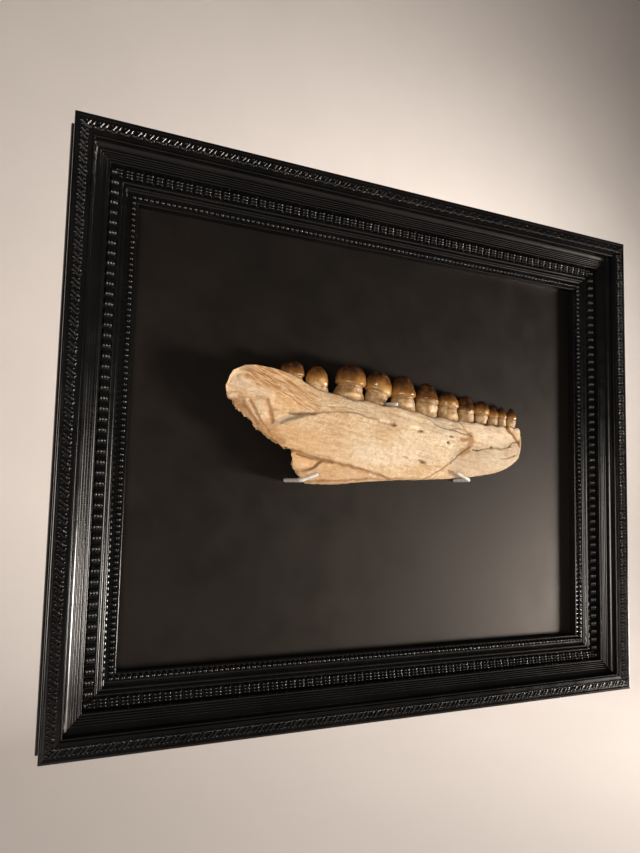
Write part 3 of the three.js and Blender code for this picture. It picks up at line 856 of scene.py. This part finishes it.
# Nerve openings and pits as (x, z, length, height, lean, depth, stain), and their width in those sizes
PIT_WIDTH = 1 / math.sqrt(1.4)
FORAMINA = [
    (-4, 17.8, 4.4, 1.4, -6, 2.0, 0.75),
    (25.6, 14.2, 3.6, 1.2, -8, 1.8, 0.75),
    (60, 11.8, 2.4, 1.2, -10, 1.7, 0.8),
    (56, 6.3, 1.7, 1.4, -20, 2.0, 0.95),
    (26.8, -11.6, 5.6, 1.7, -17, 2.0, 0.7),
    (8.8, -9.6, 4.0, 0.9, -15, 1.0, 0.5),
    (59.1, -12.4, 1.4, 0.9, 20, 0.8, 0.6),
    (89.7, 1.4, 2.0, 1.1, 0, 1.3, 0.75),
    (107.3, 4.9, 2.2, 1.1, 10, 1.3, 0.8),
    (132.4, 6.9, 2.0, 1.1, 20, 1.3, 0.8),
    (139, -1.2, 2.4, 0.9, 15, 0.9, 0.6),
]
# Raised and hollowed stretches as (x, z) lines with half width and height
SWELLS = [
    ([(-138.6, 28), (-131.3, 18.5), (-122, 9)], 2.4, 0.8),
    ([(-125.5, 27), (-122, 19)], 3.6, 0.9),
    ([(-112, 24), (-100, 25), (-88, 26)], 6.0, -1.6),
    ([(-146, 52), (-128, 46), (-104, 38), (-84, 30), (-64, 27)], 6.0, 1.1),
    ([(-18.4, 20.4), (-9, 19.6)], 1.8, -1.2),
    ([(16, 16.6), (22, 15.6)], 1.6, -1.0),
    ([(53, 13.4), (57, 12.6)], 1.4, -0.8),
    ([(-90, -9.4), (-72, -12.9), (-58, -15.8)], 1.6, 0.8),
    ([(46, 22.4), (60, 21.4)], 4.0, -0.5),
]
# Steps in the surface as (x, z) lines, with the drop on their left (+) or right (-), how far that reaches,
# and how wide the slope is
STEPS = [
    ([(-114, 9), (-106.9, 12), (-100.2, 14.6), (-90.7, 18), (-77.6, 21.6), (-70, 22.6)], 2.2, 8.0, 3.4),
    (SPLENIAL_BORDER, -0.8, 7.0, 1.2),
    (TIP_CRACK, 1.7, 14.0, 1.2),
    (FLAKE_LINE, 0.6, 8.0, 1.2),
    (FRONT_CRACK, -0.6, 7.0, 1.2),
    (SPLENIAL_SPLIT, 0.7, 6.0, 1.2),
]
# Shares of a step's line where it sets in and dies out, and shares of its slope on either side of the line
STEP_START = (0, 0.35)
STEP_END = (1, 0.8)
STEP_SIDES = (-0.25, 0.75)
# How far a face has to turn forwards for forms and for colours, from none to all of them
FORM_FACING = (0.1, 0.6)
COLOUR_FACING = (0.0, 0.5)

# Layers of unevenness: height, size of the lumps, their length in sizes, its lean in degrees, noise shift.
# The wander shifts drawn lines along x (axis 0) and z (axis 2).
WANDER = {
    0: [(0.8, 6, 1, 0, 21.7)],
    2: [(0.8, 6, 1, 0, 33.1), (0.35, 1.8, 1, 0, 5.5)],
}
STREAKS = [(1, 1.6, 6, STREAK_LEAN, 1.4)]
RIM_PITS = [(0.6, 3.6, 1, 0, 12.8)]
RIM_GRAIN = [(0.22, 1.5, 1, 0, 8.2)]
BONE_GRAIN = [
    (0.5, 24, 1, 0, 2.2),
    (0.32, 4.2, 5, GRAIN_LEAN, 6.4),
    (0.2, 1.8, 4, GRAIN_LEAN, 17.3),
    (0.16, 1.5, 1, 0, 9.9),
]
# Height of the streaks all over, and what the streaked band adds
STREAK_HEIGHT = 0.12
BAND_HEIGHT = 0.4


def uneven(points, layers):
    """The sum of some layers of unevenness at points."""
    return sum(height * rough(leaned(points, lean), size, stretch=(length, 1, 1), shift=shift)
               for height, size, length, lean, shift in layers)


def wavy(points):
    """Points with their x and z shifted a little, so that lines drawn on them wander."""
    shifted = points.copy()
    for axis, layers in WANDER.items():
        shifted[:, axis] += uneven(points, layers)
    return shifted


def oval_distance(points, oval):
    """Distance from a leaning oval's middle, as a share of its size."""
    x, z, length, height, lean = oval[:5]
    turned = leaned(points - [x, 0, z], lean)
    return np.hypot(turned[:, 0] / length, turned[:, 2] / height)


def leaned(points, lean):
    """Points turned in the x-z plane, so that their x runs along a lean in degrees."""
    angle = math.radians(lean)
    turned = points.copy()
    turned[:, 0] = points[:, 0] * math.cos(angle) + points[:, 2] * math.sin(angle)
    turned[:, 2] = points[:, 2] * math.cos(angle) - points[:, 0] * math.sin(angle)
    return turned


def sculpted(rings):
    """The bone with its swells, steps, cracks, nerve openings and grain pressed into the rings."""
    shape = rings.shape
    normals = ring_normals(rings).reshape(-1, 3)
    points = rings.reshape(-1, 3)
    facing = smooth_step(*FORM_FACING, -normals[:, 1])
    drawn = wavy(points)
    height = np.zeros(len(points))
    for line, width, rise in SWELLS:
        distance, _, _ = line_distance(points, line)
        height += rise * bell(distance, width)
    for line, drop, reach, slope in STEPS:
        distance, share, side = line_distance(drawn, line)
        ends = smooth_step(*STEP_START, share) * smooth_step(*STEP_END, share)
        lowered = smooth_step(*STEP_SIDES, side * distance * math.copysign(1, drop) / slope)
        height -= abs(drop) * lowered * ends * bell(distance, reach)
    for line, width, depth, _ in CRACKS:
        distance, _, _ = line_distance(drawn, line)
        height -= depth * bell(distance, width)
    for oval in FORAMINA:
        height -= oval[5] * bell(oval_distance(drawn, oval), PIT_WIDTH)
    band = stroke(points, STREAK_BAND, STREAK_WIDTH, 1.0)
    height += (STREAK_HEIGHT + BAND_HEIGHT * band) * uneven(points, STREAKS)
    rim = smooth_step(*ROUGH_RIM, points[:, 0])
    height -= rim * (np.maximum(uneven(points, RIM_PITS), 0) + uneven(points, RIM_GRAIN))
    height = height * facing + uneven(points, BONE_GRAIN)
    return (points + height[:, None] * normals).reshape(shape)


def plain_object(name, vertices, faces):
    """A working object in millimetres that isn't kept."""
    return placed(name, new_mesh(name, vertices, faces, nearest=1e-4, triangles=True))


# Prisms that part the bone: line of the break, places that close it off outside the bone, y of the line,
# shift along x with depth, and roughness
PRISMS = {
    "behind": (REAR_BREAK, [(-86, -90), (-200, -90), (-200, 38)], REAR_FACE_Y, END_SLANT, REAR_ROUGHNESS),
    "front": (BREAK_LINE, [(28, -80), (200, -80), (200, 60)], BREAK_FACE_Y, BREAK_SLANT, CUT_ROUGHNESS),
    "lower": (SPLENIAL_BORDER, [(6, -80), (-140, -80), (-140, -7.6)], BREAK_FACE_Y, 0.0, CUT_ROUGHNESS),
}
# Unevenness of their broken faces along x (axis 0) and z (axis 2)
FACETS = {
    0: [(1, 5, 1, 0, 41.3), (0.6, 2.2, 1, 0, 48.3)],
    2: [(1, 5, 1, 0, 57.9), (0.6, 2.2, 1, 0, 64.9)],
}


def even_line(line, step):
    """A line of places with further ones between them, about a step apart."""
    places = []
    for start, end in zip(line, line[1:]):
        count = max(1, round(math.dist(start, end) / step))
        places += [np.add(start, np.subtract(end, start) * i / count) for i in range(count)]
    return np.array(places + [line[-1]], dtype=float)


def broken_prism(name, line, closing, face_y, slant, roughness):
    """A prism through the bone, rough along a line at face_y that shifts along x with depth."""
    broken = even_line(line, CUT_STEP)
    outline = np.concatenate([broken, np.array(closing, dtype=float)])
    depths = np.arange(*CUT_DEPTHS, CUT_STEP)[:, None]
    x = outline[:, 0] + slant * (depths - face_y)
    points = np.stack(np.broadcast_arrays(x, depths, outline[:, 1]), axis=-1)
    places = points[:, :len(broken)].reshape(-1, 3)
    for axis, layers in FACETS.items():
        points[:, :len(broken), axis] += roughness * uneven(places, layers).reshape(len(depths), -1)
    return plain_object(name, *capped_rings(points))


def cut(body, operation, cutter):
    """The mesh of a body after a cut, as a new working object."""
    step = body.modifiers.new("cut", "BOOLEAN")
    step.operation = operation
    step.solver = "MANIFOLD"
    step.object = cutter
    graph = bpy.context.evaluated_depsgraph_get()
    mesh = bpy.data.meshes.new_from_object(body.evaluated_get(graph))
    body.modifiers.remove(step)
    return placed(body.name, mesh)


def remove(*objects):
    for made in objects:
        bpy.data.objects.remove(made, do_unlink=True)


def vertex_data(mesh, name):
    """The places ("co") or the normals ("normal") of a mesh's points."""
    values = np.empty(len(mesh.vertices) * 3)
    mesh.vertices.foreach_get(name, values)
    return values.reshape(-1, 3)


def store_value(mesh, name, values):
    layer = mesh.attributes.new(name, "FLOAT", "POINT")
    layer.data.foreach_set("value", np.clip(values, 0, 1).astype(np.float32))


# Colour patches as (x, z) lines with half width and strength. The last pale one is white filler.
# One grey stroke along the scarp is painted shadow, and the pale strokes by the nerve openings are painted
# highlights.
PATCHES = {
    "putty": [
        ([(82, 13.4), (83.2, 9), (80.4, 4.4), (78, 0.8), (72.5, -2)], 3.2, 1.0),
        ([(71.5, 9.6), (80, 10)], 1.8, 1.0),
    ],
    "brown": [
        (SPLENIAL_BORDER, 1.3, 0.55),
        ([(-93.3, -11.5), (-71.4, -15.1), (-61.3, -17)], 1.3, 0.6),
        (SPLENIAL_SPLIT, 1.7, 0.65),
        ([(-84.4, -32.4), (-53.3, -31.2), (-20, -28.4), (10, -27.4)], 1.2, 0.5),
        (REAR_SCAR, 1.7, 0.55),
        (MIDDLE_SCAR, 1.5, 0.65),
        (FRONT_SCAR, 1.9, 0.7),
        ([(-128, 31.5), (-120, 31)], 1.5, 0.5),
        ([(-121, 10), (-114, 7.5)], 3.4, 0.45),
        ([(-146, 27), (-140, 24), (-131, 13), (-120, 4), (-106, -2)], 2.8, 0.7),
        ([(-84, -27), (-50, -25), (-22, -26)], 5.0, 0.24),
        (TIP_CRACK, 2.2, 1.0),
        (RIDGE_CRACK, 1.2, 0.35),
    ],
    "grey": [
        ([(-149.5, 46), (-147, 41)], 2.6, 0.2),
        ([(-144, 47), (-142.5, 43)], 1.4, 0.3),
        ([(-143, 53), (-132, 54.5)], 2.0, 0.4),
        ([(-130, 35), (-123.5, 31.6)], 1.6, 0.2),
        # Painted shadow: a dark band just above the scarp, which faces away from the light
        ([(-112, 12.5), (-101, 16.5), (-91, 19.5)], 2.6, 0.55),
        ([(44, 23.5), (56, 22), (67, 23)], 4.0, 0.4),
        ([(72, -10), (106, -7), (146, 2)], 13.0, 0.42),
        ([(30, 20), (44, 15.5), (58, 14.5), (66, 13.5)], 3.4, 0.3),
        ([(-52, 30), (-30, 26), (-8, 24), (14, 22)], 3.4, 0.2),
    ],
    "pale": [
        # Painted highlights: these three pale strokes in the small hollows by the nerve openings
        ([(-17, 21), (-9, 20)], 1.5, 0.9),
        ([(17, 17.4), (23, 16.6)], 1.3, 0.9),
        ([(53, 13.8), (57.5, 13.2)], 1.2, 0.8),
        ([(-126, 26), (-122.5, 19)], 3.2, 0.35),
        ([(90, 18), (118, 14), (128, 17)], 7.0, 0.4),
        ([(100, -4), (124, -8)], 6.0, 0.35),
        ([(-62, -4), (-10, -8), (50, 0)], 11.0, 0.2),
        ([(-36, -8), (-10, -9), (36, -3)], 8.0, 0.5),
        ([(-86, -10.6), (-72, -13.4)], 1.0, 0.5),
        ([(-147, 50), (-149.5, 40), (-148, 30)], 3.6, 0.45),
        ([(-142, 42), (-131, 36), (-118, 33)], 5.0, 0.45),
        ([(-24, -24), (-19.5, -25.4)], 1.7, 1.0),
    ],
}
# Rust: all over, and what each zone adds
RUST_ALL_OVER = 0.06
RUST = {"rear": 0.2, "blade": 0.38, "splenial": 0.28, "warm band": 0.4, "front": 0.1}
WARM_BAND = [(-112, 2), (-84, -4), (-56, -8)]
WARM_WIDTH = 13.0
# Colour of the streaks: all over, and what the blade and its streaked band add
STREAK_COLOUR = 0.05
BLADE_COLOUR = 0.16
BAND_COLOUR = 0.68
# Soft edges of strokes and spots, in half widths
STROKE_EDGE = (1.5, 0.6)
SPOT_EDGE = (1.15, 0.5)
# Painted shade of the bone and of the teeth where they meet
BONE_SOCKET_SHADE = 0.75
TOOTH_SOCKET_SHADE = 0.7


def stroke(points, line, width, strength):
    """A soft stroke along a line, flat in its middle."""
    distance, _, _ = line_distance(points, line)
    return strength * smooth_step(*STROKE_EDGE, distance / width)


def strongest(points, strokes):
    """The strongest of some strokes at each point."""
    return np.max([stroke(points, *each) for each in strokes], axis=0)


def socket_shade(tree, points):
    """The painted shade at points next to a surface, which is 1 on it."""
    found = (tree.find_nearest(point, SOCKET_REACH)[3] for point in points.tolist())
    distances = np.array([SOCKET_REACH if distance is None else distance for distance in found])
    return bell(distances, SOCKET_SHADE_WIDTH)


def bone_zones(points):
    """How far points lie in each zone of the bone, from 0 to 1."""
    x = points[:, 0]
    z = points[:, 2]
    border = np.interp(x, *np.array(SPLENIAL_BORDER).T)
    # Each zone fades in from the first place along x or z to the second.
    return {
        "rear": smooth_step(-20, -105, x),
        "blade": smooth_step(-62, -104, x) * smooth_step(16, 34, z),
        "splenial": smooth_step(1.0, -1.0, z - border) * smooth_step(8, -20, x),
        "warm band": stroke(points, WARM_BAND, WARM_WIDTH, 1.0),
        "front": smooth_step(60, 100, x),
    }


def paint_bone(mesh, teeth_tree):
    """Stores where the bone is stained, streaked, rusty, pale, grey, brown or filled, and its painted shade
    next to the teeth.
    """
    points = vertex_data(mesh, "co")
    facing = smooth_step(*COLOUR_FACING, -vertex_data(mesh, "normal")[:, 1])
    drawn = wavy(points)
    stain_and_shade = np.zeros(len(points))
    for line, width, _, strength in CRACKS:
        distance, _, _ = line_distance(drawn, line)
        stain_and_shade = np.maximum(stain_and_shade, strength * bell(distance, width))
    for oval in FORAMINA:
        stain_and_shade = np.maximum(stain_and_shade, oval[6] * smooth_step(*SPOT_EDGE, oval_distance(drawn, oval)))
    # Painted shade next to the teeth joins the stains of cracks and pits
    store_value(mesh, "stain_and_shade", np.maximum(stain_and_shade * facing, BONE_SOCKET_SHADE * socket_shade(teeth_tree, points)))
    for name, strokes in PATCHES.items():
        store_value(mesh, name, facing * strongest(drawn, strokes))
    zones = bone_zones(points)
    band = stroke(drawn, STREAK_BAND, STREAK_WIDTH, BAND_COLOUR)
    store_value(mesh, "streaked", STREAK_COLOUR + BLADE_COLOUR * zones["blade"] + band)
    store_value(mesh, "rust", RUST_ALL_OVER + sum(RUST[name] * zone for name, zone in zones.items()))


def build_bone(material, rings, teeth_tree):
    whole = plain_object("bone", *closed_rings(rings))
    behind, front, lower = (broken_prism(name, *shape) for name, shape in PRISMS.items())
    notched = cut(whole, "DIFFERENCE", behind)
    rear = cut(notched, "DIFFERENCE", front)
    pieces = {
        "bone_front": ("dentary_front", cut(notched, "INTERSECT", front)),
        "bone_rear": ("dentary_rear", cut(rear, "DIFFERENCE", lower)),
        "bone_splenial": ("splenial", cut(rear, "INTERSECT", lower)),
    }
    remove(whole, notched, rear, behind, front, lower)
    for name, (node, piece) in pieces.items():
        piece.name = name
        mesh = piece.data
        mesh.name = name
        paint_bone(mesh, teeth_tree)
        mesh.vertices.foreach_set("co", (vertex_data(mesh, "co") * MM).ravel())
        shade(mesh, material, sharp_angle=55)
        mesh.update()
        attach(piece, "root")
        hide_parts(node)


# Teeth

# Cream places on the teeth: number, place across as a share of the half width, height share, reach in both,
# and strength
CREAM = [
    (1, -0.2, 0.28, 0.9, 0.2, 0.4),
    (2, -0.5, 0.28, 0.5, 0.14, 0.75),
    (2, 0.1, 0.5, 0.35, 0.1, 0.45),
    (3, 0.0, 0.07, 0.7, 0.07, 0.7),
    (4, 0.35, 0.34, 0.4, 0.12, 0.75),
    (5, 0.1, 0.08, 0.5, 0.07, 0.7),
    (6, 0.1, 0.2, 0.35, 0.12, 0.6),
    (7, 0.1, 0.53, 0.3, 0.07, 0.8),
    (7, 0.3, 0.1, 0.5, 0.09, 0.8),
    (8, 0.1, 0.34, 0.35, 0.06, 0.75),
    (9, 0.1, 0.5, 0.4, 0.07, 0.7),
    (9, -0.5, 0.2, 0.4, 0.16, 0.5),
    (10, -0.3, 0.2, 0.4, 0.12, 0.4),
    (11, 0.0, 0.24, 0.4, 0.12, 0.5),
    (12, -0.4, 0.1, 0.4, 0.1, 0.4),
]
# Raggedness of the cream places and of the crown's rim: amount and size of the lumps
CREAM_RAGGED = (0.35, 3.2)
RIM_RAGGED = (0.05, 5)
# Height shares from the rim between which the enamel sets in
RIM_BLEND = (-0.04, 0.03)
# Darkness of the enamel at the rim, what it gains up to a height share, partly its own colour and partly
# painted shade on the crown's top, and that share
TONE_START = -0.16
TONE_AND_SHADE_GAIN = 0.74
TONE_TOP = 0.92
# Painted shade under the crown's rim, as a dark line: height share below it, reach and strength
RIM_SHADE_LINE = (0.035, 0.022, 0.4)
# Lumps of a tooth: share of its spread, size as a share of the width, and noise shift
TOOTH_LUMPS = [(0.05, 0.36, 0), (0.03, 0.14, 4)]
# Upright wrinkles: share of the spread, and size along each axis
WRINKLES = (0.02, (1.3, 1.3, 3.9))
# Uneven height of a tooth: share of its height, and size as a share of the width
TOOTH_TILT = (0.02, 0.5)
# Step of the noise shift from tooth to tooth
TOOTH_SEED = 3.7


def tooth_profile(rim, neck, foot, crown, high):
    """The half width at each height share, from the root in the bone to the last share below the tip."""
    root = [(-ROOT_DEPTH / high, foot * ROOT_TAPER), (-ROOT_STRAIGHT / high, foot), (0.0, foot),
            (NECK_SHARE * rim, neck), (NECK_END * rim, neck)]
    cap = [(rim + share * (1 - rim), radius) for radius, share in CROWNS[crown]]
    return root + cap


def tooth_base(x, sunk):
    return float(smooth_curve(TOP_EDGE)(np.array(x))) - sunk


def tooth_rings(row, seed):
    """Rings of a tooth from its root in the bone to its tip."""
    x, tip, width, sunk, crown, rim, neck, foot, shift, fall, _ = row
    y = float(smooth_curve(TOOTH_LINE)(np.array(x)))
    base = tooth_base(x, sunk)
    high = tip - base
    profile = tooth_profile(rim, neck, foot, crown, high)
    top_share, top_radius = profile[-1]
    shares = np.linspace(profile[0][0], top_share, TOOTH_STEPS)
    arc = np.linspace(0, math.pi / 2, TIP_STEPS)[1:-1]
    radii = np.concatenate([smooth_curve(profile)(shares), top_radius * np.cos(arc)]) * width / 2
    shares = np.concatenate([shares, top_share + (1 - top_share) * np.sin(arc)])
    radii *= 1 + sum(rise * bell(shares - rim - above, reach) for above, reach, rise in (COLLAR, GROOVE))
    turn = np.linspace(0, 2 * math.pi, TOOTH_SIDES, endpoint=False)
    centre = x + shift * smooth_step(SHIFT_SHARE, 0.0, shares)
    leaning = fall * smooth_step(0, rim, shares) * smooth_step(1, rim, shares)
    thickness = ROOT_THICKNESS + (CROWN_THICKNESS - ROOT_THICKNESS) * smooth_step(0, rim, shares)
    points = np.stack([
        centre[:, None] + radii[:, None] * np.cos(turn),
        y + (thickness * radii)[:, None] * np.sin(turn),
        base + high * (shares[:, None] - leaning[:, None] * np.cos(turn)),
    ], axis=-1)
    spread = points - np.array([x, y, 0])
    spread[..., 2] = 0
    places = points.reshape(-1, 3)
    lumps = sum(rise * rough(places, size * width, shift=seed + more) for rise, size, more in TOOTH_LUMPS)
    lumps += WRINKLES[0] * rough(places, 1, stretch=WRINKLES[1], shift=seed + 2)
    points += spread * lumps.reshape(*points.shape[:2], 1)
    tilt = TOOTH_TILT[0] * high * rough(places, TOOTH_TILT[1] * width, shift=seed + 9)
    points[..., 2] += tilt.reshape(points.shape[:2])
    return points


def paint_tooth(mesh, number, row, bone_tree):
    """Stores where a tooth is enamel, how dark it is with painted shade towards its top, its cream places,
    and painted shade under its rim and where it meets the bone.
    """
    x, tip, width, sunk, _, rim, _, _, shift, fall, tone = row
    places = vertex_data(mesh, "co") / MM
    base = tooth_base(x, sunk)
    share = (places[:, 2] - base) / (tip - base)
    across = (places[:, 0] - x - shift * smooth_step(SHIFT_SHARE, 0.0, share)) / (width / 2)
    edge = rim - fall * across + RIM_RAGGED[0] * rough(places, RIM_RAGGED[1], shift=number)
    store_value(mesh, "enamel", smooth_step(*RIM_BLEND, share - edge))
    # Darker towards the crown's top: partly the enamel's own colour, partly painted shade
    store_value(mesh, "tone", tone + TONE_START + TONE_AND_SHADE_GAIN * smooth_step(rim, TONE_TOP, share))
    cream = np.zeros(len(places))
    ragged = CREAM_RAGGED[0] * rough(places, CREAM_RAGGED[1], shift=number + 20)
    outer = places[:, 1] < smooth_curve(TOOTH_LINE)(np.array(x))
    for owner, middle, level, reach, rise, strength in CREAM:
        if owner == number:
            away = np.hypot((across - middle) / reach, (share - level) / rise) + ragged
            cream = np.maximum(cream, strength * smooth_step(*SPOT_EDGE, away) * outer)
    store_value(mesh, "cream", cream)
    # Painted shade under the crown's overhanging rim
    below, reach, strength = RIM_SHADE_LINE
    line = strength * bell(share - edge + below, reach)
    # Painted shade under the rim and where the tooth meets the bone
    store_value(mesh, "stain_and_shade", np.maximum(line, TOOTH_SOCKET_SHADE * socket_shade(bone_tree, places)))


def build_teeth(material, bodies, bone_tree):
    for number, (row, body) in enumerate(zip(TEETH, bodies), start=1):
        tooth = add_piece(f"tooth_{number:02d}", *body, material, "tooth_enamel", sharp_angle=60)
        paint_tooth(tooth.data, number, row, bone_tree)


def surface_tree(vertices, faces):
    return BVHTree.FromPolygons(np.asarray(vertices).tolist(), faces)


def build_jaw(bone_material, tooth_material):
    """The bone pieces and the teeth, each with painted shade where it meets the other."""
    rings = sculpted(bone_rings())
    numbered = enumerate(TEETH, start=1)
    bodies = [closed_rings(tooth_rings(row, number * TOOTH_SEED)) for number, row in numbered]
    build_bone(bone_material, rings, surface_tree(*joined(bodies)))
    build_teeth(tooth_material, bodies, surface_tree(*closed_rings(rings)))


# Pins

def smooth_path(path):
    """A smooth path through points, with even steps between each pair."""
    path = np.array(path, dtype=float)
    padded = [2 * path[0] - path[1], *path, 2 * path[-1] - path[-2]]
    t = np.linspace(0, 1, PIN_STEPS, endpoint=False)[:, None]
    stretches = [
        0.5 * (2 * start + (end - before) * t + (2 * before - 5 * start + 4 * end - after) * t**2
               + (3 * start - before - 3 * end + after) * t**3)
        for before, start, end, after in zip(padded, padded[1:], padded[2:], padded[3:])
    ]
    return np.concatenate([*stretches, path[-1:]])


def pin_rings(path):
    """Rings of a sleeve along a path, rounded at its free end."""
    centres = smooth_path(path)
    directions = np.gradient(centres, axis=0)
    directions /= np.linalg.norm(directions, axis=1, keepdims=True)
    angles = np.arange(1, PIN_CAP_STEPS + 1) / (PIN_CAP_STEPS + 0.5) * math.pi / 2
    cap = centres[-1] + directions[-1] * PIN_RADIUS * PIN_CAP * np.sin(angles)[:, None]
    radii = PIN_RADIUS * np.concatenate([np.ones(len(centres)), np.cos(angles)])
    centres = np.concatenate([centres, cap])
    directions = np.concatenate([directions, np.repeat(directions[-1:], PIN_CAP_STEPS, axis=0)])
    turn = np.linspace(0, 2 * math.pi, PIN_SIDES, endpoint=False)[:, None]
    side = np.array(Vector(directions[0]).orthogonal())
    rings = []
    for centre, direction, radius in zip(centres, directions, radii):
        side = side - direction * (side @ direction)
        side /= np.linalg.norm(side)
        other = np.cross(direction, side)
        rings.append(centre + radius * (np.cos(turn) * side + np.sin(turn) * other))
    return np.array(rings)


def build_pins(material):
    for node, path in PINS.items():
        body = closed_rings(pin_rings(path))
        pin = add_piece(f"sleeve_{node}", *body, material, "pin_metal", sharp_angle=60)
        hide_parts(node)


# Panel and back of the frame

def paint_panel(paint):
    """Gives the frame's own panel its paint."""
    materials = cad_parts["backing_panel"].data.materials
    materials.clear()
    materials.append(paint)


def build_back(paper):
    """Backing paper that is pressed down at its edges and sags a little."""
    low, high = (np.array(corner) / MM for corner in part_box("back_board"))
    x = np.linspace(low[0], high[0], SHEET_COLUMNS)
    z = np.linspace(low[2], high[2], SHEET_ROWS)[:, None]
    places = np.stack(np.broadcast_arrays(x, 0.0, z), axis=-1)
    rim = np.minimum(np.minimum(x - low[0], high[0] - x), np.minimum(z - low[2], high[2] - z))
    waves = uneven(places.reshape(-1, 3), SHEET_WAVES).reshape(rim.shape)
    back = places.copy()
    back[..., 1] = high[1] - smooth_step(0, SHEET_EDGE, rim) * (SHEET_SAG + waves)
    front = places.copy()
    front[..., 1] = low[1]
    board = add_piece("backing_sheet", *closed_sheet(back, front), paper, "back_board")
    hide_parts("back_board")


# Stage, light and camera

def build_stage(paper):
    """A pale floor that curves up into a backdrop far behind."""
    profile = [(FLOOR_FRONT, FLOOR_Z)]
    for angle in np.linspace(0, math.pi / 2, BEND_STEPS + 1).tolist():
        y = WALL_Y - WALL_BEND * (1 - math.sin(angle))
        profile.append((y, FLOOR_Z + WALL_BEND * (1 - math.cos(angle))))
    profile.append((WALL_Y, WALL_TOP))
    vertices = [(x, y, z) for x in (-FLOOR_HALF_WIDTH, FLOOR_HALF_WIDTH) for y, z in profile]
    mesh = bpy.data.meshes.new("studio_floor")
    mesh.from_pydata(vertices, [], grid_faces(2, len(profile)))
    mesh.materials.append(paper)
    mesh.shade_smooth()
    floor = placed("studio_floor", mesh)


def area_light(name, place, target, size, power, colour):
    lamp = bpy.data.lights.new(name, "AREA")
    lamp.shape = "DISK"
    lamp.size = size
    lamp.energy = power
    lamp.color = colour
    holder = placed(name, lamp)
    holder.location = place
    holder.rotation_euler = (Vector(target) - Vector(place)).to_track_quat("-Z", "Y").to_euler()


def build_light():
    world = bpy.data.worlds.new("studio")
    world.use_nodes = True
    background = world.node_tree.nodes["Background"]
    background.inputs["Color"].default_value = SKY_COLOUR
    background.inputs["Strength"].default_value = SKY_STRENGTH
    bpy.context.scene.world = world
    for name, settings in LAMPS.items():
        area_light(name, *settings)


def build_camera():
    lens = bpy.data.cameras.new("camera")
    lens.lens = CAMERA_LENS
    lens.sensor_width = CAMERA_SENSOR
    camera = placed("camera", lens)
    camera.location = CAMERA_PLACE
    camera.rotation_euler = [math.radians(angle) for angle in CAMERA_TURN]
    bpy.context.scene.camera = camera
    bpy.context.scene.view_settings.view_transform = "Standard"


build_camera()
build_light()
build_stage(studio_paper())
build_frame(frame_lacquer())
paint_panel(panel_paint())
build_back(backing_paper())
build_jaw(fossil_bone(), tooth_enamel())
build_pins(pin_sleeve())
